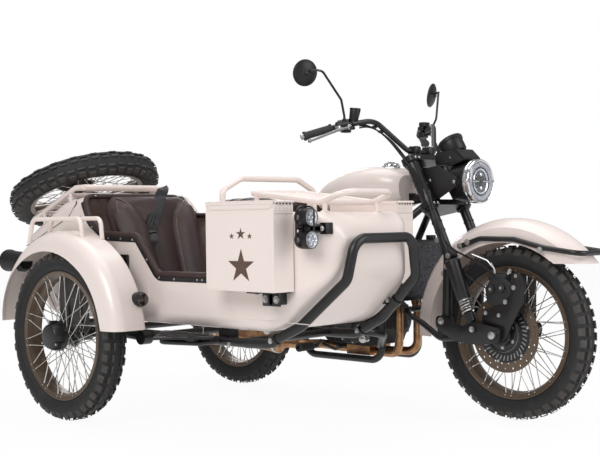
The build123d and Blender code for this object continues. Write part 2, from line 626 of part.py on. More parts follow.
with BuildPart() as rear_mudguard:
    with BuildSketch(Plane.YZ.offset(REAR_X)):
        with BuildLine():
            top = TYRE_RADIUS + REAR_GUARD_RADIUS
            Polyline((-86, top - 60), (-82, top - 18), (-50, top), (50, top), (82, top - 18), (86, top - 60),
                     (83, top - 60), (79, top - 20), (49, top - 3), (-49, top - 3), (-79, top - 20),
                     (-83, top - 60), close=True)
        make_face()
    revolve(axis=Axis((REAR_X, 0, TYRE_RADIUS), (0, 1, 0)))
    with BuildSketch(Plane.XZ):
        with BuildLine():
            Polyline((REAR_X, TYRE_RADIUS), (REAR_X + 240, TYRE_RADIUS + 400), (REAR_X, 900),
                     (REAR_X - 600, 900), (REAR_X - 600, TYRE_RADIUS + 60), close=True)
        make_face()
    extrude(amount=200, both=True, mode=Mode.INTERSECT)
write(rear_mudguard, "rear_mudguard")

with BuildPart() as swing_arm:
    for side in (-1, 1):
        slab((-1612, SWING_PIVOT[0] + 20), (side * 88, side * 105), (306, 348))
        slab((REAR_X - 44, REAR_X + 30), (side * 88, side * 108), (TYRE_RADIUS - 28, TYRE_RADIUS + 26))
        slab((SHOCK_LOW[0] - 14, SHOCK_LOW[0] + 14), (side * 96, side * 120), (340, SHOCK_LOW[1] + 12))
        rod((SHOCK_LOW[0], side * 110, SHOCK_LOW[1]), (SHOCK_LOW[0], side * 152, SHOCK_LOW[1]), SHOCK_PIN)
    slab((-1180, -1140), (-89, 89), (312, 346))
    rod((SWING_PIVOT[0], -105, SWING_PIVOT[1]), (SWING_PIVOT[0], 105, SWING_PIVOT[1]), 26)
    rod((REAR_X, -128, TYRE_RADIUS), (REAR_X, 128, TYRE_RADIUS), AXLE_RADIUS)
    rod((SWING_PIVOT[0], -106, SWING_PIVOT[1]), (SWING_PIVOT[0], 106, SWING_PIVOT[1]), 16 + GAP,
        mode=Mode.SUBTRACT)
write(swing_arm, "swing_arm")

SIDE_SHOCK_TOP = (-1150, -1044, 640)
SIDE_SHOCK_FOOT = (-1262, -1044, 389)
with BuildPart() as rear_shocks:
    for side in (-1, 1):
        shock((SHOCK_HIGH[0], side * SIDE_STEP, SHOCK_HIGH[1]), (SHOCK_LOW[0], side * SIDE_STEP, SHOCK_LOW[1]), 8)
    shock(SIDE_SHOCK_TOP, SIDE_SHOCK_FOOT, 6, 20)
write(rear_shocks, "rear_shocks")

with BuildPart() as footpegs:
    for side in (-1, 1):
        tube([(-930, side * 128, CRADLE_Z + 6), (-930, side * 160, 232), (-930, side * 175, 238)], 8, [10])
        rod((-930, side * 172, 238), (-930, side * 262, 238), 13)
    add(main_frame.part, mode=Mode.SUBTRACT)
write(footpegs, "footpegs")

# drive chain: a flat loop round both sprockets on the left
DRIVE_X = -960
DRIVE_Z = 330
DRIVE_RADIUS = 34
CHAIN_WIDTH = 14
CHAIN_HEIGHT = 12
CHAIN_LINKS = 56
LINK_LENGTH = 19
with BuildPart() as drive_chain:
    with BuildSketch(Plane.XZ.offset(-CHAIN_Y - CHAIN_WIDTH / 2)) as loop:
        for grow, how in ((CHAIN_HEIGHT, Mode.ADD), (0, Mode.SUBTRACT)):
            with BuildSketch(mode=Mode.PRIVATE) as band:
                with Locations((REAR_X, TYRE_RADIUS)):
                    Circle(SPROCKET_RADIUS + 1 + grow)
                with Locations((DRIVE_X, DRIVE_Z)):
                    Circle(DRIVE_RADIUS + 1 + grow)
                make_hull()
            add(band.sketch, mode=how)
    extrude(amount=CHAIN_WIDTH)
    with BuildSketch(Plane.XZ.offset(-CHAIN_Y), mode=Mode.PRIVATE) as middle:
        with Locations((REAR_X, TYRE_RADIUS)):
            Circle(SPROCKET_RADIUS + 1 + CHAIN_HEIGHT / 2)
        with Locations((DRIVE_X, DRIVE_Z)):
            Circle(DRIVE_RADIUS + 1 + CHAIN_HEIGHT / 2)
        make_hull()
    route = middle.sketch.faces()[0].outer_wire()
    with Locations(*[Plane(origin=route @ (link / CHAIN_LINKS), x_dir=route % (link / CHAIN_LINKS), z_dir=(0, 1, 0))
                     for link in range(CHAIN_LINKS)]):
        Box(LINK_LENGTH, CHAIN_HEIGHT - 2, CHAIN_WIDTH + 4)
write(drive_chain, "drive_chain")

# ---------------------------------------------------------------- sidecar chassis
with BuildPart() as sidecar_frame:
    for y in (RAIL_OUT, RAIL_IN):
        rod((-505, y, RAIL_HEIGHT), (-1740, y, RAIL_HEIGHT), RAIL_RADIUS)
    for x in (-540, -980, -1360, -1720):
        rod((x, RAIL_OUT, RAIL_HEIGHT), (x, RAIL_IN, RAIL_HEIGHT), RAIL_RADIUS - 2)
    for x in (-640, -1200, -1640):
        for y in (RAIL_OUT + 34, RAIL_IN - 34):
            slab((x - 30, x + 30), (y - 22, y + 22), (RAIL_HEIGHT - 4, TUB_FLOOR - GAP))
    rod((-980, RAIL_OUT, RAIL_HEIGHT), (-980, -1072, RAIL_HEIGHT), RAIL_RADIUS)
    slab((-1175, -1125), (RAIL_OUT, -1020), (RAIL_HEIGHT - 8, RAIL_HEIGHT + 8))
    slab((-1175, -1125), (-1020, -1012), (RAIL_HEIGHT - 8, SIDE_SHOCK_TOP[2] + 20))
    rod((SIDE_SHOCK_TOP[0], -1014, SIDE_SHOCK_TOP[2]), (SIDE_SHOCK_TOP[0], -1062, SIDE_SHOCK_TOP[2]), SHOCK_PIN)
write(sidecar_frame, "sidecar_frame")

# what ties the sidecar to the motorcycle: two lower arms and two upper struts
with BuildPart() as sidecar_struts:
    tube([(-540, RAIL_IN + RAIL_RADIUS, RAIL_HEIGHT), (-420, -380, RAIL_HEIGHT), (-420, -300, 330), (-575, -134, 262)], 16, [60, 50])
    rod((-980, RAIL_IN + RAIL_RADIUS, RAIL_HEIGHT), (-1040, -140, SWING_PIVOT[1]), 16)
    rod((-700, RAIL_IN + 6, RAIL_HEIGHT + 14), (-585, -122, 620), 11)
    rod((-1360, RAIL_IN + 6, RAIL_HEIGHT + 14), (-1350, -118, 792), 11)
    add(main_frame.part, mode=Mode.SUBTRACT)
    add(sidecar_frame.part, mode=Mode.SUBTRACT)
write(sidecar_struts, "sidecar_struts")

with BuildPart() as sidecar_arm:
    rod((-980, -1030, RAIL_HEIGHT), (-980, -1072, RAIL_HEIGHT), 28)
    tube([(-980, -1052, RAIL_HEIGHT), (-1140, -1052, 356), (SIDECAR_X, -1062, TYRE_RADIUS)], 17, 120)
    slab((SIDE_SHOCK_FOOT[0] - 14, SIDE_SHOCK_FOOT[0] + 14), (-1074, -1060), (350, SIDE_SHOCK_FOOT[2] + 10))
    rod((SIDE_SHOCK_FOOT[0], -1070, SIDE_SHOCK_FOOT[2]), (SIDE_SHOCK_FOOT[0], -1028, SIDE_SHOCK_FOOT[2]), SHOCK_PIN)
    rod((SIDECAR_X, -1040, TYRE_RADIUS), (SIDECAR_X, -1084, TYRE_RADIUS), 28)
    rod((SIDECAR_X, -1060, TYRE_RADIUS), (SIDECAR_X, SIDECAR_Y - HUB_HALF - 12, TYRE_RADIUS), AXLE_RADIUS)
    rod((-980, -1030, RAIL_HEIGHT), (-980, -1072, RAIL_HEIGHT), RAIL_RADIUS + GAP, mode=Mode.SUBTRACT)
write(sidecar_arm, "sidecar_arm")

# ---------------------------------------------------------------- sidecar body
# side elevation of the tub, from the nose round the belly to the tail and back over the deck
TUB_SIDE = (                # X, Z, corner radius
    (-86, 815, 110),
    (-104, 600, 140),
    (-330, TUB_FLOOR, 200),
    (-1700, TUB_FLOOR, 120),
    (-1860, 560, 60),
    (-1880, 730, 24),
    (-1600, 878, 200),
    (-1400, 905, 40),
    (-1300, 815, 60),
)
TUB_PLAN_NOSE = 175
TUB_CORNER = 45
OPENING = (                 # X, Z of the cockpit's edge on the step-in side
    (-640, 588),
    (-945, 588),
    (-1075, 735),
    (-1290, 742),
    (-1385, 800),
)
OPENING_REAR = -1430
COCKPIT_LEFT = -500
LID_SEAM = ((-1487, 1000), (-1487, 868), (-1545, 812), (-1868, 690), (-1960, 690), (-1960, 1000))
SEAM_GAP = 3
HINGE_X = -1484            # trunk lid hinge
HINGE_Z = 903
TUB_LOW = TUB_MIDDLE - TUB_HALF
TUB_HIGH = TUB_MIDDLE + TUB_HALF


def is_crease(edge, faces):
    """Whether two of the faces meet at the edge at more than a slight angle."""
    pair = [face for face in faces if any(edge.is_same(other) for other in face.edges())]
    middle = edge @ 0.5
    return len(pair) == 2 and pair[0].normal_at(middle).get_angle(pair[1].normal_at(middle)) > 8


def tub_solid(inset=0):
    """Add the tub's closed form, drawn inwards by a wall."""
    with BuildSketch(Plane.XZ.offset(-TUB_HIGH + inset)) as side:
        with BuildLine():
            FilletPolyline(*[(x, z) for x, z, _ in TUB_SIDE], radius=[r for _, _, r in TUB_SIDE], close=True)
        make_face()
        if inset:
            offset(amount=-inset, kind=Kind.INTERSECTION)
    extrude(to_extrude=side.sketch, amount=2 * (TUB_HALF - inset))
    nose = NOSE_X - inset
    corner = TUB_PLAN_NOSE - inset
    with BuildSketch(Plane.XY.offset(300)) as plan:
        with BuildLine():
            FilletPolyline((nose, TUB_LOW + inset), (nose, TUB_HIGH - inset), (-2000, TUB_HIGH - inset),
                           (-2000, TUB_LOW + inset), radius=[corner, corner, 1, 1], close=True)
        make_face()
    extrude(to_extrude=plan.sketch, amount=700, mode=Mode.INTERSECT)


def round_tub(tub, radius):
    """Round every crease of the tub being built."""
    faces = tub.faces()
    fillet([edge for edge in tub.edges() if is_crease(edge, faces)], radius)


with BuildPart() as tub_inner:
    tub_solid(TUB_WALL)
    round_tub(tub_inner, TUB_CORNER - TUB_WALL)
with BuildPart() as tub_shell:
    tub_solid()
    round_tub(tub_shell, TUB_CORNER)
    add(tub_inner.part, mode=Mode.SUBTRACT)

with BuildPart() as sidecar_tub:
    add(tub_shell.part)
    side_plate([(OPENING[0][0], 1000), *OPENING, (OPENING_REAR, 895), (OPENING_REAR, 1000)],
               (TUB_LOW - 50, TUB_LOW + 50), mode=Mode.SUBTRACT)
    slab((OPENING_REAR, OPENING[0][0]), (TUB_LOW + 40, COCKPIT_LEFT), (700, 1000), mode=Mode.SUBTRACT)
    side_plate([(x + (SEAM_GAP if x > -1600 else 0), z - (SEAM_GAP if z < 900 else 0)) for x, z in LID_SEAM],
               (TUB_LOW - 50, TUB_HIGH + 50), mode=Mode.SUBTRACT)
    for middle in (TUB_MIDDLE - 130, TUB_MIDDLE + 130):
        for y in ((middle - 44, middle - 30 - GAP), (middle + 30 + GAP, middle + 44)):
            slab((HINGE_X, HINGE_X + 30), y, (888, HINGE_Z + 5))
            rod((HINGE_X, y[0], HINGE_Z), (HINGE_X, y[1], HINGE_Z), 6)
write(sidecar_tub, "sidecar_tub")

with BuildPart() as trunk_lid:
    add(tub_shell.part)
    side_plate(LID_SEAM, (TUB_LOW - 50, TUB_HIGH + 50), mode=Mode.INTERSECT)
    for y in (TUB_MIDDLE - 130, TUB_MIDDLE + 130):
        rod((HINGE_X, y - 30, HINGE_Z), (HINGE_X, y + 30, HINGE_Z), 6)
        slab((-1530, HINGE_X), (y - 26, y + 26), (880, HINGE_Z))
write(trunk_lid, "trunk_lid")

# padded rim round the cockpit's edge
RIM_TUBE = 13
WALL_MIDDLE = TUB_LOW + TUB_WALL / 2
with BuildPart() as cockpit_rim:
    deck = DECK_HEIGHT - 3
    tube([(-900, COCKPIT_LEFT, deck), (-640, COCKPIT_LEFT, deck), (-640, WALL_MIDDLE, deck),
          *[(x, WALL_MIDDLE, z) for x, z in OPENING], (OPENING_REAR, WALL_MIDDLE, 896),
          (OPENING_REAR, COCKPIT_LEFT, 896), (-1310, COCKPIT_LEFT, deck), (-1100, COCKPIT_LEFT, deck),
          (-900, COCKPIT_LEFT, deck)][:-1],
         RIM_TUBE, [30, 42, 50, 50, 40, 40, 30, 30, 30, 30])
    add(sidecar_tub.part, mode=Mode.SUBTRACT)
write(cockpit_rim, "cockpit_rim")

# ---------------------------------------------------------------- seat and belt
SEAT_FOOT = TUB_FLOOR + TUB_WALL + GAP
SEAT_LOW = TUB_LOW + 24
SEAT_HIGH = COCKPIT_LEFT - RIM_TUBE - 3
with BuildPart() as seat_back:
    side_plate([(-1146, 441), (-1322, 912), (-1400, 912), (-1404, 860), (-1235, 441)],
               (SEAT_LOW, SEAT_HIGH), [6, 36, 30, 20, 20])
    slab((-1220, -1150), (SEAT_LOW + 34, SEAT_HIGH - 20), (SEAT_FOOT, 446))
write(seat_back, "seat_back")

with BuildPart() as seat_cushion:
    side_plate([(-720, 440), (-720, 520), (-1120, 486), (-1128, 440)], (SEAT_LOW, SEAT_HIGH), [10, 30, 10, 10])
    slab((-1100, -740), (SEAT_LOW + 30, SEAT_HIGH - 30), (TUB_FLOOR + TUB_WALL + GAP, 441))
write(seat_cushion, "seat_cushion")

with BuildPart() as seat_belt:
    tube([(-1418, -632, 925), (-1330, -640, 925), (-1150, -800, 560)], 4, [20])
    add(seat_back.part, mode=Mode.SUBTRACT)
write(seat_belt, "seat_belt")

# ---------------------------------------------------------------- sidecar mudguard and its rails
SIDE_GUARD_RADIUS = 416
with BuildPart() as sidecar_mudguard:
    with BuildSketch(Plane.YZ.offset(SIDECAR_X)):
        with BuildLine():
            FilletPolyline((-1074, TYRE_RADIUS + 388), (-1074, TYRE_RADIUS + SIDE_GUARD_RADIUS),
                           (-1219, TYRE_RADIUS + SIDE_GUARD_RADIUS), (-1222, TYRE_RADIUS + 320),
                           radius=[14, 50])
            FilletPolyline((-1077, TYRE_RADIUS + 388), (-1077, TYRE_RADIUS + SIDE_GUARD_RADIUS - 3),
                           (-1216, TYRE_RADIUS + SIDE_GUARD_RADIUS - 3), (-1219, TYRE_RADIUS + 320),
                           radius=[11, 47])
            Line((-1074, TYRE_RADIUS + 388), (-1077, TYRE_RADIUS + 388))
            Line((-1222, TYRE_RADIUS + 320), (-1219, TYRE_RADIUS + 320))
        make_face()
    revolve(axis=Axis((SIDECAR_X, SIDECAR_Y, TYRE_RADIUS), (0, 1, 0)))
    with BuildSketch(Plane.XZ.offset(1000)):
        with Locations((SIDECAR_X, TYRE_RADIUS + 340)):
            Rectangle(1200, 600)
    extrude(amount=300, mode=Mode.INTERSECT)
    with BuildSketch(Plane.XZ.offset(1150)):
        with Locations((-1393, 305)):
            Circle(371)
    extrude(amount=100, mode=Mode.SUBTRACT)
    slab((-1490, -1430), (-1076, TUB_LOW - GAP), (720, 725))
write(sidecar_mudguard, "sidecar_mudguard")

with BuildPart() as mudguard_rails:
    for y, front, rear in ((-1168, -1214, -1588), (-1090, -1190, -1570)):
        tube([(front, y, 722), (front - 10, y, 804), (rear + 30, y, 804), (rear, y, 706)], 9, [30, 30])
    rod((-1380, -1168, 804), (-1380, -1090, 804), 7)
    rod((SIDECAR_X, -1230, TYRE_RADIUS), (SIDECAR_X, -1060, TYRE_RADIUS), SIDE_GUARD_RADIUS,
        mode=Mode.SUBTRACT)
write(mudguard_rails, "mudguard_rails")

with BuildPart() as lamps:
    rod((-1640, SIDECAR_Y, 626), (-1780, SIDECAR_Y, 632), 35)
    rod((-990, -1094, 495), (-925, -1094, 495), 20)
    rod((-1830, 0, 610), (-1890, 0, 632), 34)
    rod((SIDECAR_X, -1230, TYRE_RADIUS), (SIDECAR_X, -1060, TYRE_RADIUS), SIDE_GUARD_RADIUS + GAP,
        mode=Mode.SUBTRACT)
    rod((REAR_X, -90, TYRE_RADIUS), (REAR_X, 90, TYRE_RADIUS), REAR_GUARD_RADIUS + GAP, mode=Mode.SUBTRACT)
write(lamps, "lamps")

# ---------------------------------------------------------------- racks and bumper
RACK_TUBE = 11
with BuildPart() as nose_rack:
    for side, out in ((-1, -868), (1, -590)):
        tube([(-560, out, 889), (-215, out, 848), (-112, out, 884), (-112, TUB_MIDDLE, 884)], RACK_TUBE,
             [50, 60])
    rod((-560, -868, 889), (-560, -590, 889), RACK_TUBE)
    rod((-215, -868, 848), (-215, -590, 848), RACK_TUBE - 2)
    for number in range(4):
        y = -810 + number * 54
        rod((-560, y, 889), (-215, y, 848), 6)
    for y in (-868, -590):
        rod((-200, y, 852), (-200, y, DECK_HEIGHT - 2), 9)
        rod((-540, y, 886), (-540, y, DECK_HEIGHT - 2), 9)
    tube([(-612, -972, DECK_HEIGHT - 6), (-612, -972, 900), (-612, -880, 944), (-612, -578, 944),
          (-612, -486, 900), (-612, -486, DECK_HEIGHT - 6)], RACK_TUBE, [30, 60, 60, 30])
    add(sidecar_tub.part, mode=Mode.SUBTRACT)
write(nose_rack, "nose_rack")

with BuildPart() as tail_rack:
    slope = (936 - 807) / (1882 - 1564)
    for y in (-952, -506):
        rod((-1882, y, 807), (-1564, y, 936), RACK_TUBE)
        rod((-1564, y, 936), (-1500, y, 938), RACK_TUBE)
        rod((-1800, y, 838), (-1800, y, 771), 8)
        rod((-1600, y, 921), (-1600, y, 873), 8)
    for number in range(6):
        x = -1882 + number * 62
        rod((x, -952, 807 + (x + 1882) * slope), (x, -506, 807 + (x + 1882) * slope), RACK_TUBE - 2)
    rod((-1500, -952, 938), (-1500, -506, 938), RACK_TUBE)
    way = Vector(-sin(radians(SPARE_TILT)), 0, cos(radians(SPARE_TILT)))
    hub = Vector(*SPARE_CENTRE)
    rod(tuple(hub - way * 100), tuple(hub - way * (HUB_HALF + GAP)), 40)
    rod(tuple(hub - way * 60), tuple(hub + way * (HUB_HALF + 20)), AXLE_RADIUS)
    rod(tuple(hub + way * (HUB_HALF + GAP)), tuple(hub + way * (HUB_HALF + 14)), 30)
    add(trunk_lid.part, mode=Mode.SUBTRACT)
write(tail_rack, "tail_rack")

with BuildPart() as bumper:
    tube([(-504, RAIL_OUT, RAIL_HEIGHT), (-400, -955, 350), (-262, -930, 418), (-82, -890, 580),
          (-62, -868, 722), (-62, -560, 722), (-82, -516, 580), (-262, -492, 418), (-400, -490, 350),
          (-504, RAIL_IN, RAIL_HEIGHT)], 18, [60, 80, 50, 60, 60, 50, 80, 60])
    add(sidecar_frame.part, mode=Mode.SUBTRACT)
write(bumper, "bumper")

# ---------------------------------------------------------------- side boxes
def box_tray(near, far):
    """Open-topped tray standing on the tub's side."""
    slab((BOX_REAR, BOX_FRONT), (near, far), (BOX_LOW, BOX_HIGH - LID_DEPTH))
    inner = (min(near, far) + BOX_WALL, max(near, far) - BOX_WALL)
    slab((BOX_REAR + BOX_WALL, BOX_FRONT - BOX_WALL), inner, (BOX_LOW + BOX_WALL, BOX_HIGH + 10),
         mode=Mode.SUBTRACT)


def box_lid(near, far):
    """Pressed lid with a turned-down edge, and its hinge along the front."""
    lip = 1.5
    low = BOX_HIGH - LID_DEPTH
    slab((BOX_REAR - lip, BOX_FRONT), (near - lip, far), (low + GAP, BOX_HIGH))
    slab((BOX_REAR, BOX_FRONT + 1), (near, far), (low, BOX_HIGH - 2), mode=Mode.SUBTRACT)
    rod((BOX_FRONT + 4, near, BOX_HIGH - 4), (BOX_FRONT + 4, far, BOX_HIGH - 4), 3.5)
    slab((BOX_FRONT - 4, BOX_FRONT + 4), (near, far), (BOX_HIGH - 2, BOX_HIGH - 0.6))


for name, near, far in (("outer", BOX_OUT, TUB_LOW - GAP), ("inner", TUB_HIGH + GAP, BOX_IN)):
    with BuildPart() as tray:
        box_tray(near, far)
    write(tray, f"{name}_box")
    with BuildPart() as lid:
        box_lid(near, far)
    write(lid, f"{name}_box_lid")

SPOT_Y = -1022
with BuildPart() as spot_lamps:
    for z in (796, 721):
        rod((-178, SPOT_Y, z), (-120, SPOT_Y, z), 31)
        rod((-120, SPOT_Y, z), (-115, SPOT_Y, z), 28)
    slab((-176, -150), (SPOT_Y - 12, SPOT_Y + 12), (720, 797))
    rod((-160, SPOT_Y, 758), (-112, -925, 758), 13)
    tube([(-150, SPOT_Y, 700), (-150, SPOT_Y - 44, 700), (-150, SPOT_Y - 44, 834), (-150, SPOT_Y + 56, 834),
          (-150, SPOT_Y + 56, 756)], 4, [20, 40, 30])
    rod((-150, SPOT_Y, 758), (-150, SPOT_Y + 60, 758), 6)
    add(sidecar_tub.part, mode=Mode.SUBTRACT)
write(spot_lamps, "spot_lamps")

with BuildPart() as step_plate:
    with BuildSketch(Plane.XY.offset(366)):
        with BuildLine():
            FilletPolyline((-560, -1059), (-720, -1221), (-928, -1003), (-676, -990), radius=16, close=True)
        make_face()
    extrude(amount=8)
    tube([(-640, RAIL_OUT - RAIL_RADIUS, RAIL_HEIGHT), (-660, -1060, 345), (-820, -1110, 345), (-860, RAIL_OUT - RAIL_RADIUS, RAIL_HEIGHT)], 10, [30, 30])
    slab((-700, -660), (-1080, -1040), (352, 367))
    slab((-830, -790), (-1110, -1060), (352, 367))
    add(sidecar_frame.part, mode=Mode.SUBTRACT)
write(step_plate, "step_plate")
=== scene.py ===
"""Dressed model of a motorcycle with a sidecar on its right-hand side.

Every piece is drawn in millimetres from the front axle: X forward, Y to the rider's left,
Z up from the floor, with the motorcycle's own middle plane at Y = 0.  A piece is moved into
the stored frame when it is finished.
"""

from __future__ import annotations

import json
import logging
import math
from collections.abc import Callable, Iterable, Sequence
from dataclasses import dataclass
from enum import Enum

import bmesh
import bpy
from bmesh.types import BMEdge, BMFace, BMVert
from mathutils import Matrix, Vector

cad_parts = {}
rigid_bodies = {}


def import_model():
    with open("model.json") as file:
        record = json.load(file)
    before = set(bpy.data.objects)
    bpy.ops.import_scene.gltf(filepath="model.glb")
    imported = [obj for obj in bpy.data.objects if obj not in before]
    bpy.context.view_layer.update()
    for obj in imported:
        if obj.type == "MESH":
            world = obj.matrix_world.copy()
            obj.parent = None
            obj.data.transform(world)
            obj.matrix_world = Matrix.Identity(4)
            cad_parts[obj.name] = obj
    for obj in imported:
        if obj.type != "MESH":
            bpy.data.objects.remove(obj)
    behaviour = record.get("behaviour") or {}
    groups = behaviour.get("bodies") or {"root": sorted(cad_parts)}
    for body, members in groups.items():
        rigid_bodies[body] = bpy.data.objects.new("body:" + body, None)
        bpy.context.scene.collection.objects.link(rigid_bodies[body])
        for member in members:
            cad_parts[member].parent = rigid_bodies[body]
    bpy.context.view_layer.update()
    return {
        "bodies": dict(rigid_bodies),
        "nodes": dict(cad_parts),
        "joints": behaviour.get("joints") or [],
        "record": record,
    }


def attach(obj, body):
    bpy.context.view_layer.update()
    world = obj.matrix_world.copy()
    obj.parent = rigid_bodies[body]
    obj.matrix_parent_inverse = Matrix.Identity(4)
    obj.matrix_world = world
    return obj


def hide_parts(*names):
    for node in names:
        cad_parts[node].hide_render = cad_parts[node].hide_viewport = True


log = logging.getLogger("sidecar_outfit")

Point = Sequence[float]
Colour = tuple[float, float, float]
Verts = list[BMVert]

FRAME_SHIFT = Vector((895.0, 382.5, 0.0))
FULL_TURN = 2 * math.pi
ORIGIN, UP, DOWN = (0, 0, 0), (0, 0, 1), (0, 0, -1)
AHEAD, BACK, LEFT, RIGHT = (1, 0, 0), (-1, 0, 0), (0, 1, 0), (0, -1, 0)
SIDES = (-1, 1)
SHARPEST = 1e-6                      # what a full turn may fall short by, in radians
MILLIMETRE = 0.001                   # in metres
TO_METRES = Matrix.Scale(MILLIMETRE, 4) @ Matrix.Translation(FRAME_SHIFT)

FRONT_HUB = (0, 0, 340)
REAR_HUB = (-1572, 0, 340)
SIDECAR_HUB = (-1350, -1148, 340)
SPARE_HUB = (-1821, -722, 936)
SPARE_TILT = math.radians(22.0)
RAKE = math.radians(26.2)
TANK_FILLER = (-616, 0, 1004)


class Body(Enum):
    """The rigid bodies that pieces ride on."""

    CHASSIS = "chassis"
    TRUNK = "trunk"
    STEERING = "steering"
    FRONT_WHEEL = "front_wheel"
    REAR_WHEEL = "rear_wheel"
    SIDECAR_WHEEL = "sidecar_wheel"
    OUTER_LID = "outer_lid"
    INNER_LID = "inner_lid"


# ------------------------------------------------------------------ shader maths
class Wire:
    """A shader socket that takes part in Python expressions."""

    def __init__(self, net: Net, socket: bpy.types.NodeSocket) -> None:
        """Hold a socket and the net that it belongs to."""
        self.net = net
        self.socket = socket

    def maths(self, operation: str, *others: Wire | float, swap: bool = False) -> Wire:
        """Add a Math node.

        Args:
            operation: The node's operation.
            others: The remaining operands.
            swap: Put this wire last instead of first.

        Returns:
            The node's result.
        """
        operands = (*others, self) if swap else (self, *others)
        return self.net.add("ShaderNodeMath", {"operation": operation}, dict(enumerate(operands)))

    def __add__(self, other: Wire | float) -> Wire:
        """Sum."""
        return self.maths("ADD", other)

    __radd__ = __add__

    def __sub__(self, other: Wire | float) -> Wire:
        """Difference."""
        return self.maths("SUBTRACT", other)

    def __rsub__(self, other: Wire | float) -> Wire:
        """Difference, reflected."""
        return self.maths("SUBTRACT", other, swap=True)

    def __mul__(self, other: Wire | float) -> Wire:
        """Product."""
        return self.maths("MULTIPLY", other)

    __rmul__ = __mul__

    def __truediv__(self, other: Wire | float) -> Wire:
        """Quotient."""
        return self.maths("DIVIDE", other)

    def between(self, low: float, high: float) -> Wire:
        """Rise smoothly from 0 at `low` to 1 at `high`."""
        return self.net.add("ShaderNodeMapRange", {"interpolation_type": "SMOOTHSTEP"},
            {"Value": self, "From Min": low, "From Max": high})


class Net:
    """The node tree of one material or world."""

    def __init__(self, tree: bpy.types.NodeTree) -> None:
        """Empty the tree and keep it."""
        self.tree = tree
        tree.nodes.clear()

    def node(self, kind: str, settings: dict[str, object] | None = None,
            inputs: dict[str | int, object] | None = None) -> bpy.types.Node:
        """Add a node.

        Args:
            kind: The node's type.
            settings: Its own settings; "stops" fills a colour ramp.
            inputs: Values or wires by socket name or number.

        Returns:
            The node.
        """
        node = self.tree.nodes.new(kind)
        for key, value in (settings or {}).items():
            if key == "stops":
                self._stops(node.color_ramp, value)
            else:
                setattr(node, key, value)
        for key, value in (inputs or {}).items():
            if isinstance(value, Wire):
                self.tree.links.new(value.socket, node.inputs[key])
            else:
                node.inputs[key].default_value = value
        return node

    def add(self, kind: str, settings: dict[str, object] | None = None,
            inputs: dict[str | int, object] | None = None, output: str | int = 0) -> Wire:
        """Add a node and give back one of its outputs."""
        return Wire(self, self.node(kind, settings, inputs).outputs[output])

    @staticmethod
    def _stops(ramp: bpy.types.ColorRamp, stops: Sequence[tuple[float, Colour]]) -> None:
        """Fill a colour ramp with (place, colour) stops."""
        while len(ramp.elements) < len(stops):
            ramp.elements.new(1.0)
        for element, (place, colour) in zip(ramp.elements, stops):
            element.position = place
            element.color = (*colour, 1.0)

    def here(self) -> Wire:
        """The surface point in object coordinates, in metres."""
        return self.add("ShaderNodeTexCoord", output="Object")

    def noise(self, scale: float, detail: float = 3.0, where: Wire | None = None) -> Wire:
        """Soft noise from 0 to 1, `scale` clouds a metre."""
        return self.add("ShaderNodeTexNoise", None, {"Vector": where or self.here(), "Scale": scale,
            "Detail": detail})

    def cells(self, scale: float, feature: str = "F1", where: Wire | None = None) -> Wire:
        """Distance pattern of random cells, `scale` cells a metre."""
        return self.add("ShaderNodeTexVoronoi", {"feature": feature},
            {"Vector": where or self.here(), "Scale": scale}, "Distance")

    def mix(self, share: Wire | float, first: Colour | Wire, second: Colour | Wire) -> Wire:
        """Blend two colours."""
        pair = [value if isinstance(value, Wire) else (*value, 1.0) for value in (first, second)]
        return self.add("ShaderNodeMix", {"data_type": "RGBA"}, {0: share, 6: pair[0], 7: pair[1]},
            2)

    def bump(self, height: Wire, depth: float) -> Wire:
        """Turn a height into a normal; `depth` is in millimetres."""
        return self.add("ShaderNodeBump", None, {"Height": height, "Distance": depth * MILLIMETRE,
            "Strength": 1.0})


# ------------------------------------------------------------------ finishes
@dataclass(frozen=True)
class Finish:
    """Surface with soft colour clouds and a fine grain.

    Attributes:
        name: The material's name.
        slot: The record's material slot; not used.
        colour: Main colour.
        shade: Colour that the clouds drift towards.
        roughness: Middle roughness.
        drift: Share of the second colour at the clouds' middle.
        cloud: Clouds a metre.
        grain: Grains a metre.
        relief: Depth of the grain in millimetres.
        uneven: How far the roughness wanders.
        settings: Further values set on the shader's own sockets.
    """

    name: str
    slot: str
    colour: Colour
    shade: Colour
    roughness: float
    drift: float = 0.5
    cloud: float = 7.0
    grain: float = 700.0
    relief: float = 0.05
    uneven: float = 0.12
    settings: tuple[tuple[str, object], ...] = ()

    def material(self) -> bpy.types.Material:
        """The finish's material, made on its first use."""
        known = bpy.data.materials.get(self.name)
        if known:
            return known
        made = bpy.data.materials.new(self.name)
        made.use_nodes = True
        made.diffuse_color = (*self.colour, 1.0)
        net = Net(made.node_tree)
        shader = net.node("ShaderNodeBsdfPrincipled", None, dict(self.settings))
        for socket, wire in self.surface(net).items():
            net.tree.links.new(wire.socket, shader.inputs[socket])
        net.node("ShaderNodeOutputMaterial", None, {"Surface": Wire(net, shader.outputs[0])})
        return made

    def surface(self, net: Net) -> dict[str, Wire]:
        """What changes over the surface.

        Args:
            net: The material's net.

        Returns:
            Wires by the shader's socket names.
        """
        clouds = net.noise(self.cloud)
        return {"Base Color": net.mix(clouds.between(0.3, 0.75) * self.drift, self.colour,
            self.shade), "Roughness": self.wander(clouds),
            "Normal": net.bump(net.noise(self.grain, 2.0), self.relief)}

    def wander(self, pattern: Wire) -> Wire:
        """Roughness that follows a pattern about its middle value."""
        return pattern * self.uneven + (self.roughness - self.uneven / 2)


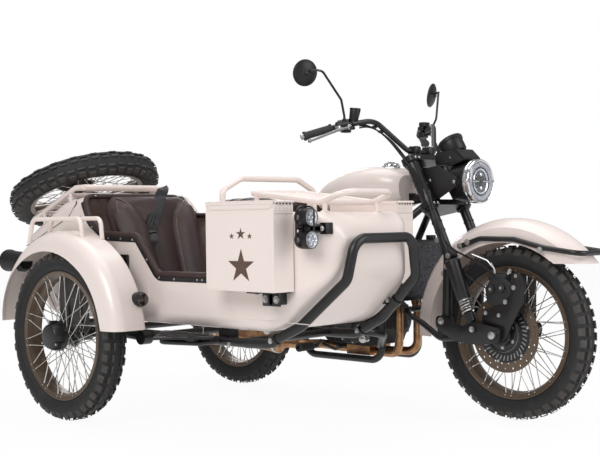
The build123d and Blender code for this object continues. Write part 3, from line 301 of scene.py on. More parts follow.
@dataclass(frozen=True)
class Leather(Finish):
    """Grained leather: irregular pebbles, creases and slightly rubbed tops."""

    def surface(self, net: Net) -> dict[str, Wire]:
        """Pebbled grain with darker valleys and a soft sheen on its tops."""
        pebbles = net.cells(self.grain, "DISTANCE_TO_EDGE")
        tops = pebbles.between(0.0, 0.14)
        creases = net.noise(38.0, 5.0).between(0.35, 0.7)
        worn = net.noise(self.cloud).between(0.42, 0.8) * self.drift
        tone = net.mix(worn, self.colour, self.shade)
        dark = tuple(value * 0.45 for value in self.colour)
        return {"Base Color": net.mix(tops * 0.75 + 0.25, dark, tone),
            "Roughness": (1.0 - tops) * 0.25 + worn * -0.1 + self.roughness,
            "Normal": net.bump(tops * 0.7 + creases * 0.5, self.relief)}


@dataclass(frozen=True)
class Honeycomb(Finish):
    """Radiator core: pale cell walls round openings painted near-black, painted shade inside the
    cells.
    """

    def surface(self, net: Net) -> dict[str, Wire]:
        """Walls from the distance to a cell's edge; the openings take the near-black second colour
        as painted shade.
        """
        walls = net.cells(self.grain, "DISTANCE_TO_EDGE").between(0.3, 0.12)
        # The openings get the near-black second colour: painted shade standing in for the depth of
        # the cells.
        return {"Base Color": net.mix(walls, self.shade, self.colour),
            "Roughness": 1.0 - walls * 0.6, "Normal": net.bump(walls, self.relief)}


@dataclass(frozen=True)
class Rubber(Finish):
    """Tyre rubber: fine pores and a trace of dust where the noise is high."""

    def surface(self, net: Net) -> dict[str, Wire]:
        """Pores, moulding ripples and dust."""
        dust = net.noise(self.cloud, 6.0).between(0.45, 0.85) * self.drift
        pores = net.noise(self.grain, 2.0)
        ripples = net.noise(60.0, 3.0)
        return {"Base Color": net.mix(dust, self.colour, self.shade),
            "Roughness": self.wander(pores),
            "Normal": net.bump(pores + ripples * 1.5, self.relief)}


@dataclass(frozen=True)
class Brushed(Finish):
    """Metal with fine strokes drawn along one direction."""

    stretch: tuple[float, float, float] = (1.0, 12.0, 12.0)

    def surface(self, net: Net) -> dict[str, Wire]:
        """Strokes in roughness and height, and slow stains in colour."""
        drawn = net.add("ShaderNodeMapping", None, {"Vector": net.here(), "Scale": self.stretch})
        strokes = net.noise(self.grain, 3.0, drawn)
        stains = net.noise(self.cloud, 4.0).between(0.35, 0.8) * self.drift
        return {"Base Color": net.mix(stains, self.colour, self.shade),
            "Roughness": self.wander(strokes), "Normal": net.bump(strokes, self.relief)}


@dataclass(frozen=True)
class Cast(Finish):
    """Painted casting: sand texture with rubbed high spots."""

    def surface(self, net: Net) -> dict[str, Wire]:
        """Sand grain under paint, with lighter rubbed places."""
        sand = net.cells(self.grain)
        rubbed = net.noise(self.cloud, 8.0).between(0.55, 0.8) * self.drift
        return {"Base Color": net.mix(rubbed, self.colour, self.shade),
            "Roughness": self.roughness - rubbed * self.uneven,
            "Normal": net.bump(sand + net.noise(90.0), self.relief)}


@dataclass(frozen=True)
class HeatTinted(Finish):
    """Steel pipe coloured by heat in slow bands."""

    def surface(self, net: Net) -> dict[str, Wire]:
        """Straw, copper and brown bands with soot in places."""
        bands = net.noise(self.cloud, 4.0)
        tint = net.add("ShaderNodeValToRGB", {"stops": ((0.25, self.shade), (0.42, self.colour),
            (0.6, (0.5, 0.3, 0.16)), (0.78, (0.2, 0.1, 0.08)))}, {"Fac": bands})
        fine = net.noise(self.grain, 3.0)
        return {"Base Color": tint, "Roughness": self.wander(fine),
            "Normal": net.bump(fine, self.relief)}


@dataclass(frozen=True)
class Webbing(Finish):
    """Woven strap: a herringbone of fine ribs."""

    def surface(self, net: Net) -> dict[str, Wire]:
        """Crossed ribs in height and tone."""
        here = net.here()
        ribs = [net.add("ShaderNodeTexWave", {"wave_type": "BANDS", "bands_direction": direction},
            {"Vector": here, "Scale": self.grain, "Distortion": 0.4}, 1)
            for direction in ("DIAGONAL", "Z")]
        weave = ribs[0] * 0.6 + ribs[1] * 0.4
        return {"Base Color": net.mix(weave, self.colour, self.shade),
            "Roughness": self.wander(weave), "Normal": net.bump(weave, self.relief)}


@dataclass(frozen=True)
class Ribbed(Finish):
    """Moulded grip: a knurl of small diamonds."""

    def surface(self, net: Net) -> dict[str, Wire]:
        """Diamonds where two slanted sets of ribs cross."""
        here = net.here()
        sets = [net.add("ShaderNodeTexWave", {"bands_direction": direction},
            {"Vector": here, "Scale": self.grain}, 1) for direction in ("X", "DIAGONAL")]
        knurl = sets[0] * sets[1]
        return {"Base Color": net.mix(knurl, self.shade, self.colour),
            "Roughness": self.roughness - knurl * self.uneven,
            "Normal": net.bump(knurl, self.relief)}


class Look:
    """The finishes of this object."""

    CREAM = Finish("cream paint", "cream_paint", (0.79, 0.69, 0.645), (0.755, 0.65, 0.60), 0.34,
        cloud=2.2, grain=420.0, relief=0.012, uneven=0.08,
        settings=(("Coat Weight", 0.35), ("Coat Roughness", 0.12), ("IOR", 1.5)))
    BLACK = Finish("black powder coat", "black_paint", (0.0055, 0.0048, 0.0056),
        (0.012, 0.0115, 0.011), 0.36, cloud=12.0, grain=1100.0, relief=0.05, uneven=0.16)
    BRONZE = Finish("bronze rim paint", "bronze_paint", (0.135, 0.096, 0.068),
        (0.096, 0.068, 0.048), 0.36, cloud=10.0, grain=1500.0, relief=0.02,
        settings=(("Metallic", 0.55),))
    TYRE = Rubber("tyre rubber", "tyre", (0.014, 0.014, 0.015), (0.05, 0.046, 0.042), 0.74,
        drift=0.35, cloud=16.0, grain=900.0, relief=0.12)
    TREAD = Rubber("tread rubber", "tyre", (0.05, 0.044, 0.041), (0.13, 0.112, 0.1), 0.8, drift=0.6,
        cloud=22.0, grain=800.0, relief=0.14)
    # The second colour, near black, is painted shade in the openings of the radiator's cells.
    CORE = Honeycomb("radiator core", "plastic", (0.075, 0.075, 0.085), (0.002, 0.002, 0.002), 0.45,
        grain=130.0, relief=0.9, settings=(("Metallic", 0.6),))
    LEATHER = Leather("brown leather", "leather", (0.036, 0.0145, 0.0135), (0.056, 0.024, 0.022),
        0.42, cloud=7.0, grain=420.0, relief=0.28)
    THREAD = Webbing("tan thread", "leather", (0.42, 0.27, 0.15), (0.58, 0.4, 0.24), 0.8,
        grain=900.0, relief=0.1)
    STEEL = Brushed("zinc steel", "steel", (0.52, 0.51, 0.5), (0.34, 0.33, 0.31), 0.34, cloud=30.0,
        grain=400.0, relief=0.02, settings=(("Metallic", 1.0),))
    SPOKE = Brushed("polished spoke", "steel", (0.62, 0.6, 0.58), (0.45, 0.44, 0.42), 0.24,
        cloud=20.0, grain=300.0, relief=0.01, settings=(("Metallic", 1.0),))
    CHROME = Finish("chrome plate", "chrome", (0.72, 0.72, 0.72), (0.62, 0.62, 0.63), 0.09,
        cloud=18.0, grain=900.0, relief=0.004, uneven=0.06, settings=(("Metallic", 1.0),))
    COPPER = HeatTinted("heat-tinted pipe", "copper_pipe", (0.32, 0.16, 0.075), (0.16, 0.1, 0.075),
        0.36, cloud=16.0, grain=500.0, relief=0.03, settings=(("Metallic", 0.9),))
    CAST = Cast("black casting", "engine_alloy", (0.018, 0.018, 0.019), (0.06, 0.058, 0.055), 0.5,
        cloud=40.0, grain=900.0, relief=0.12, settings=(("Metallic", 0.25),))
    ALLOY = Cast("bare casting", "engine_alloy", (0.3, 0.3, 0.3), (0.42, 0.41, 0.4), 0.42,
        cloud=30.0, grain=1000.0, relief=0.08, settings=(("Metallic", 0.85),))
    PLASTIC = Finish("black plastic", "plastic", (0.0075, 0.0065, 0.0075), (0.013, 0.012, 0.013),
        0.4, cloud=20.0, grain=1300.0, relief=0.05, settings=(("Specular IOR Level", 0.38),))
    GRIP = Ribbed("grip rubber", "rubber", (0.011, 0.011, 0.012), (0.03, 0.03, 0.03), 0.7,
        grain=110.0, relief=0.6, uneven=0.15)
    BELT = Webbing("black webbing", "webbing", (0.005, 0.005, 0.007), (0.012, 0.012, 0.016), 0.72,
        grain=190.0, relief=0.35, settings=(("Sheen Weight", 0.12),))
    STAR = Finish("brown stencil paint", "cream_paint", (0.09, 0.047, 0.032), (0.13, 0.075, 0.05),
        0.48, cloud=60.0, drift=0.35, grain=500.0, relief=0.015)
    LENS = Finish("clear lens", "plastic", (0.93, 0.95, 0.97), (0.85, 0.88, 0.92), 0.06, cloud=9.0,
        grain=300.0, relief=0.05, uneven=0.04, settings=(("Transmission Weight", 1.0),
        ("IOR", 1.46)))
    RED = Finish("red lens", "plastic", (0.42, 0.008, 0.006), (0.3, 0.004, 0.004), 0.14, cloud=40.0,
        grain=260.0, relief=0.25, uneven=0.08, settings=(("Coat Weight", 0.6),
        ("Transmission Weight", 0.25)))
    SMOKE = Finish("smoked lens", "plastic", (0.02, 0.012, 0.008), (0.012, 0.008, 0.006), 0.12,
        cloud=40.0, grain=260.0, relief=0.2, uneven=0.08, settings=(("Coat Weight", 0.6),))
    DIODE = Finish("diode", "plastic", (0.42, 0.41, 0.47), (0.55, 0.54, 0.6), 0.3, cloud=80.0,
        grain=700.0, relief=0.03, settings=(("Emission Color", (0.9, 0.9, 1.0, 1.0)),
        ("Emission Strength", 0.04)))
    REFLECTOR = Finish("lamp reflector", "chrome", (0.85, 0.85, 0.86), (0.55, 0.56, 0.57), 0.16,
        cloud=40.0, grain=200.0, relief=0.08, settings=(("Metallic", 1.0),))
    SILVER_GLASS = Finish("mirror glass", "chrome", (0.82, 0.84, 0.86), (0.78, 0.8, 0.83), 0.03,
        cloud=6.0, grain=100.0, relief=0.002, uneven=0.02, settings=(("Metallic", 1.0),))
    DIAL = Finish("dial face", "plastic", (0.01, 0.012, 0.014), (0.018, 0.02, 0.024), 0.22,
        cloud=30.0, grain=500.0, relief=0.01, settings=(("Coat Weight", 0.8),))
    MARK = Finish("dial mark", "plastic", (0.7, 0.72, 0.72), (0.6, 0.62, 0.62), 0.5, cloud=60.0)
    # Near black: the own colour of the valve, the rim marks and the headlamp's inner cup, and
    # painted shade in the gaps of the box hinges.
    DARK_AND_PAINTED_SHADE = Finish("dark parts and painted gap shade", "plastic", (0.004, 0.004, 0.004), (0.01, 0.01, 0.01), 0.8)


# ------------------------------------------------------------------ modelling
class Shape:
    """One named piece while it is being modelled, in drawing millimetres."""

    def __init__(self, name: str, body: Body, finish: Finish) -> None:
        """Start an empty piece.

        Args:
            name: The piece's name.
            body: The body that it rides on.
            finish: Its finish.
        """
        self.name = name
        self.body = body
        self.finish = finish
        self.mesh = bmesh.new()

    # ---- solids
    def rod(self, start: Point, end: Point, radius: float, tip: float | None = None,
            sides: int = 20, bevel: float = 0.0) -> Verts:
        """Add a round bar or cone.

        Args:
            start: Middle of its first end.
            end: Middle of its last end.
            radius: Radius at the start.
            tip: Radius at the end, where it differs.
            sides: Number of flats round it.
            bevel: Width of the rounding of both rims.

        Returns:
            Its vertices.
        """
        first, last = Vector(start), Vector(end)
        line = last - first
        place = Matrix.Translation((first + last) / 2) @ line.to_track_quat("Z",
            "Y").to_matrix().to_4x4()
        made = bmesh.ops.create_cone(self.mesh, cap_ends=True, segments=sides, radius1=radius,
            radius2=radius if tip is None else tip, depth=line.length, matrix=place)["verts"]
        if bevel:
            rims = {edge for vert in made for edge in vert.link_edges
                if any(len(face.verts) > 4 for face in edge.link_faces)}
            made = self._bevel(rims, bevel, 2)
        return made

    def block(self, low: Point, high: Point, bevel: float = 0.0, segments: int = 2,
            turn: Matrix | None = None) -> Verts:
        """Add a box between two corners.

        Args:
            low: Its lowest corner.
            high: Its highest corner.
            bevel: Width of its rounded edges.
            segments: Steps of the rounding.
            turn: Turn about its own middle.

        Returns:
            Its vertices.
        """
        first, last = Vector(low), Vector(high)
        place = (Matrix.Translation((first + last) / 2) @ (turn or Matrix.Identity(4))
            @ Matrix.Diagonal((*(last - first), 1.0)))
        made = bmesh.ops.create_cube(self.mesh, size=1.0, matrix=place)["verts"]
        if bevel:
            made = self._bevel({edge for vert in made for edge in vert.link_edges}, bevel, segments)
        return made

    def ball(self, centre: Point, radius: float, squash: Point = (1, 1, 1),
            rings: int = 10) -> Verts:
        """Add a ball, drawn out or flattened by `squash`."""
        place = Matrix.Translation(Vector(centre)) @ Matrix.Diagonal((*squash, 1.0))
        return bmesh.ops.create_uvsphere(self.mesh, u_segments=2 * rings, v_segments=rings,
            radius=radius, matrix=place)["verts"]

    def _bevel(self, edges: Iterable[BMEdge], width: float, segments: int) -> Verts:
        """Round edges and give back every vertex of the solids that they belong to."""
        edges = list(edges)
        before = {vert for edge in edges for face in edge.link_faces for vert in face.verts}
        made = bmesh.ops.bevel(self.mesh, geom=edges, offset=width, offset_type="OFFSET",
            affect="EDGES", segments=segments, profile=0.5, material=-1, clamp_overlap=True)
        kept = {vert for vert in before if vert.is_valid}
        return list(kept | set(made["verts"]))

    def plate(self, outline: Sequence[Point], thick: Point, bend: float = 0.0,
            bevel: float = 0.0) -> Verts:
        """Add a flat plate.

        Args:
            outline: Corners in space, all in one plane.
            thick: The way from its first face to its last.
            bend: Rounding of its corners.
            bevel: Rounding of its edges.

        Returns:
            Its vertices.
        """
        corners = rounded(outline, bend, True) if bend else [Vector(corner) for corner in outline]
        face = self.mesh.faces.new([self.mesh.verts.new(corner) for corner in corners])
        sides = bmesh.ops.extrude_face_region(self.mesh, geom=[face], use_keep_orig=True)["geom"]
        moved = [item for item in sides if isinstance(item, BMVert)]
        bmesh.ops.translate(self.mesh, vec=Vector(thick), verts=moved)
        made = list(face.verts) + moved
        if bevel:
            ends = [item for item in sides if isinstance(item, BMFace)] + [face]
            rims = {edge for end in ends for edge in end.edges if len(end.verts) == len(corners)}
            made = self._bevel(rims, bevel, 2)
        return made

    def turned(self, profile: Sequence[tuple[float, float]], centre: Point, axis: Point,
            steps: int = 48, angle: float = FULL_TURN, closed: bool = True,
            across: Point | None = None) -> Verts:
        """Spin an outline about an axis.

        Args:
            profile: (along the axis, from the axis) pairs.
            centre: Point of the axis that the outline is measured from.
            axis: Direction of the axis.
            steps: Steps of a full turn.
            angle: How far it is spun.
            closed: Join the outline's last point to its first.
            across: Direction from the axis that the outline starts in.

        Returns:
            The shape's vertices.
        """
        way = Vector(axis).normalized()
        out = (Vector(across) if across else way.orthogonal()).normalized()
        origin = Vector(centre)
        full = angle >= FULL_TURN - SHARPEST
        verts = [self.mesh.verts.new(origin + way * along + out * away) for along, away in profile]
        pairs = list(zip(verts, verts[1:])) + ([(verts[-1], verts[0])] if closed else [])
        edges = [self.mesh.edges.new(pair) for pair in pairs]
        before = set(self.mesh.verts)
        made = bmesh.ops.spin(self.mesh, geom=verts + edges, cent=origin, axis=way, dvec=ORIGIN,
            angle=angle, steps=max(3, round(steps * angle / FULL_TURN)), use_merge=full,
            use_duplicate=False)
        shape = verts + [vert for vert in self.mesh.verts if vert not in before]
        if full:
            bmesh.ops.remove_doubles(self.mesh, verts=shape, dist=0.01)
            shape = [vert for vert in shape if vert.is_valid]
        elif closed:
            last = [item for item in made["geom_last"] if isinstance(item, BMEdge)]
            bmesh.ops.contextual_create(self.mesh, geom=edges)
            bmesh.ops.contextual_create(self.mesh, geom=last)
        return shape

    def copies(self, verts: Iterable[BMVert], places: Iterable[Matrix]) -> None:
        """Repeat a shape at further places, each a move from where the first one is."""
        verts = list(verts)
        chosen = set(verts)
        faces = [face for face in {f for vert in verts for f in vert.link_faces}
            if all(vert in chosen for vert in face.verts)]
        faces.sort(key=lambda face: tuple(face.calc_center_median()))
        for place in places:
            made = bmesh.ops.duplicate(self.mesh, geom=verts + faces)["geom"]
            moved = [item for item in made if isinstance(item, BMVert)]
            bmesh.ops.transform(self.mesh, matrix=place, verts=moved)

    def tube(self, points: Sequence[Point], radius: float, bend: float = 0.0, sides: int = 12,
            closed: bool = False, smooth: bool = False) -> None:
        """Add a round bar along straight runs joined by arcs, or along one smooth curve.

        Args:
            points: The route's corners, or a smooth curve's control points.
            radius: The bar's radius.
            bend: Radius of the arcs.
            sides: Number of flats round it.
            closed: Join the last point to the first.
            smooth: Draw one smooth curve.
        """
        curve = bpy.data.curves.new(self.name + "_route", "CURVE")
        curve.dimensions = "3D"
        curve.bevel_depth = radius
        curve.bevel_resolution = max(0, sides // 4 - 1)
        curve.use_fill_caps = not closed
        if smooth:
            spline = curve.splines.new("NURBS")
            spline.points.add(len(points) - 1)
            for knot, point in zip(spline.points, points):
                knot.co = (*point, 1.0)
            spline.order_u = min(4, len(points))
            spline.use_endpoint_u = not closed
            spline.resolution_u = 8
        else:
            route = rounded(points, bend, closed)
            spline = curve.splines.new("POLY")
            spline.points.add(len(route) - 1)
            for knot, point in zip(spline.points, route):
                knot.co = (*point, 1.0)
        spline.use_cyclic_u = closed
        self._swallow(curve)

    def _swallow(self, curve: bpy.types.Curve) -> None:
        """Add a curve's own mesh to the piece and drop the curve."""
        holder = bpy.data.objects.new(curve.name, curve)
        bpy.context.scene.collection.objects.link(holder)
        bpy.context.view_layer.update()
        graph = bpy.context.evaluated_depsgraph_get()
        mesh = bpy.data.meshes.new_from_object(holder.evaluated_get(graph))
        before = set(self.mesh.verts)
        self.mesh.from_mesh(mesh)
        new = [vert for vert in self.mesh.verts if vert not in before]
        bmesh.ops.remove_doubles(self.mesh, verts=new, dist=0.001)
        bpy.data.objects.remove(holder)
        bpy.data.curves.remove(curve)
        bpy.data.meshes.remove(mesh)

    def skin(self, rows: Sequence[Sequence[BMVert]]) -> None:
        """Join rings of vertices into a strip with closed ends."""
        for low, high in zip(rows, rows[1:]):
            for number in range(len(low)):
                self.mesh.faces.new((low[number - 1], low[number], high[number], high[number - 1]))
        self.mesh.faces.new(rows[0])
        self.mesh.faces.new(rows[-1][::-1])

    # ---- fastenings
    def bolt(self, head: Point, way: Point, size: float = 6.0, height: float = 5.0,
            washer: bool = True) -> None:
        """Add a hexagon head on a washer.

        Args:
            head: Where the washer sits.
            way: Which way the head points.
            size: Radius over its corners.
            height: Its height.
            washer: Whether it has a washer.
        """
        foot, out = Vector(head), Vector(way).normalized()
        if washer:
            self.rod(foot, foot + out * 1.4, size * 1.45, sides=20)
        self.rod(foot, foot + out * height, size, sides=6, bevel=size * 0.12)

    def screw(self, head: Point, way: Point, size: float = 6.0) -> None:
        """Add a domed socket screw."""
        foot, out = Vector(head), Vector(way).normalized()
        self.turned([(0, size), (size * 0.35, size * 0.92), (size * 0.62, size * 0.6),
            (size * 0.62, size * 0.34), (size * 0.2, size * 0.3), (size * 0.2, 0.02), (0, 0.02)],
            foot, out, steps=16)

    # ---- finishing
    def settle(self, *replaced: str, crease: float = 38.0) -> bpy.types.Object:
        """Turn the piece into an object that rides on its body.

        Args:
            replaced: Solids that it stands for.
            crease: Angle in degrees past which an edge looks sharp.

        Returns:
            The object.
        """
        bmesh.ops.recalc_face_normals(self.mesh, faces=self.mesh.faces)
        bmesh.ops.transform(self.mesh, matrix=TO_METRES, verts=self.mesh.verts)
        mesh = bpy.data.meshes.new(self.name)
        self.mesh.to_mesh(mesh)
        self.mesh.free()
        return self._object(mesh, replaced, crease)

    def _object(self, mesh: bpy.types.Mesh, replaced: Sequence[str],
            crease: float) -> bpy.types.Object:
        mesh.materials.clear()
        mesh.materials.append(self.finish.material())
        for face in mesh.polygons:
            face.use_smooth = True
            face.material_index = 0
        mesh.set_sharp_from_angle(angle=math.radians(crease))
        made = bpy.data.objects.new(self.name, mesh)
        bpy.context.scene.collection.objects.link(made)
        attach(made, self.body.value)
        if replaced:
            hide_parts(*replaced)
        log.info("%s: %d faces on %s", self.name, len(mesh.polygons), self.body.value)
        return made


def rounded(points: Sequence[Point], bend: float, closed: bool = False,
        steps: int = 6) -> list[Vector]:
    """Round a route's corners.

    Args:
        points: The corners.
        bend: Radius of the arcs.
        closed: Whether the last corner runs on to the first.
        steps: Points of each arc.

    Returns:
        The route's points.
    """
    corners = [Vector(point) for point in points]
    if not bend:
        return corners
    count = len(corners)
    route = [] if closed else [corners[0]]
    for number in range(0 if closed else 1, count if closed else count - 1):
        here = corners[number]
        back = corners[number - 1] - here
        ahead = corners[(number + 1) % count] - here
        half = back.angle(ahead) / 2
        reach = min(bend / math.tan(half), back.length * 0.49,
            ahead.length * 0.49) if half < 1.55 else 0
        if reach < 0.5:
            route.append(here)
            continue
        start, end = here + back.normalized() * reach, here + ahead.normalized() * reach
        for step in range(steps + 1):
            share = step / steps
            route.append((1 - share) ** 2 * start + 2 * share * (1 - share) * here + share ** 2
                * end)
    return route if closed else [*route, corners[-1]]


def spin_about(centre: Point, axis: Point, count: int, first: int = 1) -> list[Matrix]:
    """Turns that repeat a shape evenly round an axis, from the `first` place on."""
    way, middle = Vector(axis).normalized(), Matrix.Translation(Vector(centre))
    return [middle @ Matrix.Rotation(FULL_TURN * number / count, 4, way) @ middle.inverted()
        for number in range(first, count)]


# ------------------------------------------------------------------ wheels
@dataclass
class Wheel:
    """Spoked wheel with a block-tread tyre.

    Attributes:
        name: Start of its pieces' names.
        body: The body that it rides on.
        centre: Middle of its axle.
        axle: Direction of the axle, towards its left.
        tyre_radius: Radius over the tread.
        crown_drop: How much lower the tread's shoulder is.
        tread_half: Middle of the tread to its shoulder.
        tyre_half: Half the tyre's width.
        rim_radius: Radius of the rim's flanges.
        rim_half: Half the rim's width.
        groove: Depth of the tread.
        bars: Tread bars round the tyre, on each half.
        nipples: Spoke nipples on each side.
        hub_half: Half the hub's length.
        flange_radius: Radius of the hub's flanges.
        bore: Radius of the hub's bore.
    """

    name: str
    body: Body
    centre: Point
    axle: Point = LEFT
    tyre_radius: float = 340.0
    crown_drop: float = 14.0
    tread_half: float = 46.0
    tyre_half: float = 52.0
    rim_radius: float = 258.0
    rim_half: float = 38.0
    groove: float = 9.0
    bars: int = 46
    nipples: int = 28
    hub_half: float = 34.0
    flange_radius: float = 50.0
    bore: float = 10.5

    def crown(self, across: float) -> float:
        """Radius of the tread's top at a distance from the tyre's middle."""
        return self.tyre_radius - self.crown_drop * (abs(across) / self.tread_half) ** 2

    def _round(self, shape: Shape, made: Iterable[BMVert]) -> None:
        """Bend a block drawn flat, as (across, around, above the crown), onto the tyre."""
        for vert in made:
            across, around, above = vert.co
            radius = self.crown(across) + above
            turn = around / self.tyre_radius
            vert.co = Vector((radius * math.sin(turn), across, radius * math.cos(turn)))

    def tyre(self) -> Shape:
        """The tyre about the origin, its axle along Y.

        Returns:
            The shape, ready to be placed.
        """
        shape = Shape(self.name + "_tyre_body", self.body, Look.TYRE)
        floor, bead = self.groove, self.rim_half - 4.5
        half = [(0, self.crown(0) - floor), (18, self.crown(18) - floor),
            (34, self.crown(34) - floor), (self.tread_half - 1,
            self.crown(self.tread_half) - floor), (self.tyre_half - 3, 312),
            (self.tyre_half - 1, 304), (self.tyre_half - 0.6, 302), (self.tyre_half - 0.6, 298),
            (self.tyre_half - 1, 296), (self.tyre_half - 2.6, 284), (self.tyre_half - 2, 282),
            (self.tyre_half - 4.4, 278), (self.tyre_half - 9, 268), (bead + 3, 262), (bead, 259),
            (bead, 244)]
        profile = half + [(-across, radius) for across, radius in reversed(half[1:])]
        shape.turned(profile, ORIGIN, LEFT, steps=112, across=UP)
        for share in (0.25, 0.5, 0.75):
            away = 268 + 40 * share
            for side in SIDES:
                shape.turned([(-0.7, away - 0.8), (0.5, away - 0.4), (0.5, away + 0.4),
                    (-0.7, away + 0.8)], (0, side * (self.tyre_half - 7 + 6.2
                    * math.sin(math.pi * share * 0.75)), 0), (0, side, 0), steps=96)
        return shape

    def tread(self) -> Shape:
        """The tyre's blocks about the origin."""
        shape = Shape(self.name + "_tyre_tread", self.body, Look.TREAD)
        pitch = FULL_TURN * self.tyre_radius / self.bars
        for side in SIDES:
            for long in (False, True):
                inner, outer = 2.5, (41.0 if long else 35.0)
                places = [Matrix.Rotation(FULL_TURN * number / self.bars, 4, "Y")
                    for number in range(2, self.bars, 2)]
                shift = pitch * ((0.5 if side > 0 else 0.0) + (1.0 if long else 0.0))
                shape.copies(self._bar(shape, side, inner, outer, shift, pitch), places)
                shape.copies(self._lug(shape, side, outer + 3.0, shift, pitch), places)
        return shape

    def _bar(self, shape: Shape, side: int, inner: float, outer: float, shift: float,
            pitch: float) -> Verts:
        """Long block that runs from the tyre's middle to its shoulder."""
        length, middle = outer - inner, side * (inner + outer) / 2
        place = Matrix.Translation((middle, shift, -self.groove / 2
            - 0.6)) @ Matrix.Diagonal((length, pitch * 0.7, self.groove + 1.2, 1.0))
        made = bmesh.ops.create_cube(shape.mesh, size=1.0, matrix=place)["verts"]
        ends = [edge for edge in {e for v in made for e in v.link_edges}
            if abs(edge.verts[0].co.x - edge.verts[1].co.x) < 0.01
            and abs(edge.verts[0].co.y - edge.verts[1].co.y) < 0.01]
        made = shape._bevel(ends, 5.0, 2)
        edges = {e for v in made if v.is_valid for e in v.link_edges
            if abs(e.verts[0].co.x - e.verts[1].co.x) > length * 0.5}
        cut = bmesh.ops.subdivide_edges(shape.mesh, edges=list(edges), cuts=2, use_grid_fill=True)
        made = list({v for v in made if v.is_valid} | {item for item in cut["geom"]
            if isinstance(item, BMVert)})
        for vert in made:
            if vert.co.z > -self.groove / 2:
                vert.co.x += (middle - vert.co.x) * 0.05
                vert.co.y += (shift - vert.co.y) * 0.09
        self._round(shape, made)
        return made

    def _lug(self, shape: Shape, side: int, inner: float, shift: float, pitch: float) -> Verts:
        """Rounded block on the shoulder, laid over the tyre's side."""
        made = shape.block((-pitch * 0.3, -pitch * 0.34, -4.0), (pitch * 0.3, pitch * 0.34, 4.0),
            2.5)
        turn = side * math.radians(52)
        place = (Matrix.Translation((side * (inner + 3.4), shift, -9.0))
            @ Matrix.Rotation(turn, 4, "Y") @ Matrix.Diagonal((0.72, 1.0, 1.0, 1.0)))
        bmesh.ops.transform(shape.mesh, matrix=place, verts=made)
        self._round(shape, made)
        for vert in made:
            vert.co.y = max(-self.tyre_half + 0.2, min(self.tyre_half - 0.2, vert.co.y))
        return made

    def rim(self) -> Shape:
        """The rim and its hub about the origin."""
        shape = Shape(self.name + "_rim_and_hub", self.body, Look.BRONZE)
        edge, top = self.rim_half, self.rim_radius
        half = [(edge - 4, 243.6), (edge - 4, top - 1), (edge - 2, top), (edge - 0.4, top - 1.2),
            (edge, top - 4), (edge - 1.6, top - 7), (edge - 2.4, top - 9), (edge - 2.4, top - 18),
            (edge - 3.6, top - 20.5), (edge - 8, top - 21.5), (edge - 12, top - 23),
            (edge - 20, top - 27), (8, top - 28)]
        profile = half + [(-across, radius) for across, radius in reversed(half)]
        shape.turned(profile, ORIGIN, LEFT, steps=96)
        return shape

    def hub(self) -> Shape:
        """Hub with two drilled flanges and a waist."""
        shape = Shape(self.name + "_hub", self.body, Look.CAST)
        h, f = self.hub_half, self.flange_radius
        half = [(h, self.bore), (h, f - 16), (h - 1.5, f - 14), (h - 1.5, f - 3), (h - 2.5, f),
            (h - 5.5, f), (h - 7, f - 3), (h - 9, f - 14), (h - 15, 27), (6, 25)]
        profile = half + [(-along, away) for along, away in reversed(half)]
        shape.turned(profile, ORIGIN, LEFT, steps=48)
        for side in SIDES:
            made = shape.rod((0, side * (h - 2), f - 22), (0, side * (h + 1.6), f - 22), 4.6,
                sides=6)
            shape.copies(made, spin_about(ORIGIN, LEFT, 6))
        return shape

    def spokes(self) -> Shape:
        """Crossed round spokes with a nipple at each rim end."""
        shape = Shape(self.name + "_spokes", self.body, Look.SPOKE)
        reach = 62.0
        for side in SIDES:
            for lean in SIDES:
                turn = math.radians(lean * reach)
                offset = FULL_TURN / self.nipples * (0.5 * (lean > 0) + 0.25 * (side > 0))
                foot_r, tip_r = self.flange_radius - 5, self.rim_radius - 22
                foot = Vector((foot_r * math.sin(turn), side * (self.hub_half - 4 + 1.5 * lean),
                    foot_r * math.cos(turn)))
                tip = Vector((0, side * (self.rim_half - 7), tip_r))
                made = shape.rod(foot, tip, 1.9, sides=6)
                way = (tip - foot).normalized()
                made += shape.rod(tip - way * 13, tip, 2.9, sides=6)
                made += shape.rod(foot - way * 5, foot + way * 1.5, 2.7, sides=6)
                made += shape.rod((0, side * (self.rim_half - 5), self.rim_radius - 14),
                    (0, side * (self.rim_half - 0.4), self.rim_radius - 14), 3.1, tip=2.3, sides=8)
                bmesh.ops.rotate(shape.mesh, cent=ORIGIN, matrix=Matrix.Rotation(offset, 3, "Y"),
                    verts=made)
                count = self.nipples // 2
                shape.copies(made, spin_about(ORIGIN, LEFT, count))
        return shape

    def details(self) -> Shape:
        """Valve and the marks on the rim's sides."""
        shape = Shape(self.name + "_valve", self.body, Look.DARK_AND_PAINTED_SHADE)
        top = self.rim_radius
        shape.rod((0, 0, top - 60), (0, 0, top - 26), 3.6, sides=12, bevel=0.8)
        shape.rod((0, 0, top - 34), (0, 0, top - 27), 7.5, sides=6)
        for side in SIDES:
            dot = shape.rod((0, side * (self.rim_half - 2.6), top - 14),
                (0, side * (self.rim_half - 2.2), top - 14), 2.2, sides=10)
            shape.copies(dot, [Matrix.Rotation(FULL_TURN * share, 4, "Y")
                for share in (0.018, 0.034, 0.268, 0.284, 0.518, 0.534, 0.768, 0.784)])
        return shape

    def build(self) -> None:
        """Model the wheel and put it in its place."""
        axle = Vector(self.axle).normalized()
        turn = Vector(LEFT).rotation_difference(axle).to_matrix().to_4x4()
        place = Matrix.Translation(Vector(self.centre)) @ turn
        for shape, replaced in ((self.tyre(), (f"{self.name}_tyre",)), (self.tread(), ()),
                (self.rim(), (f"{self.name}_rim",)), (self.hub(), ()), (self.spokes(), ()),
                (self.details(), ())):
            bmesh.ops.transform(shape.mesh, matrix=place, verts=shape.mesh.verts)
            shape.settle(*replaced, crease=32.0)


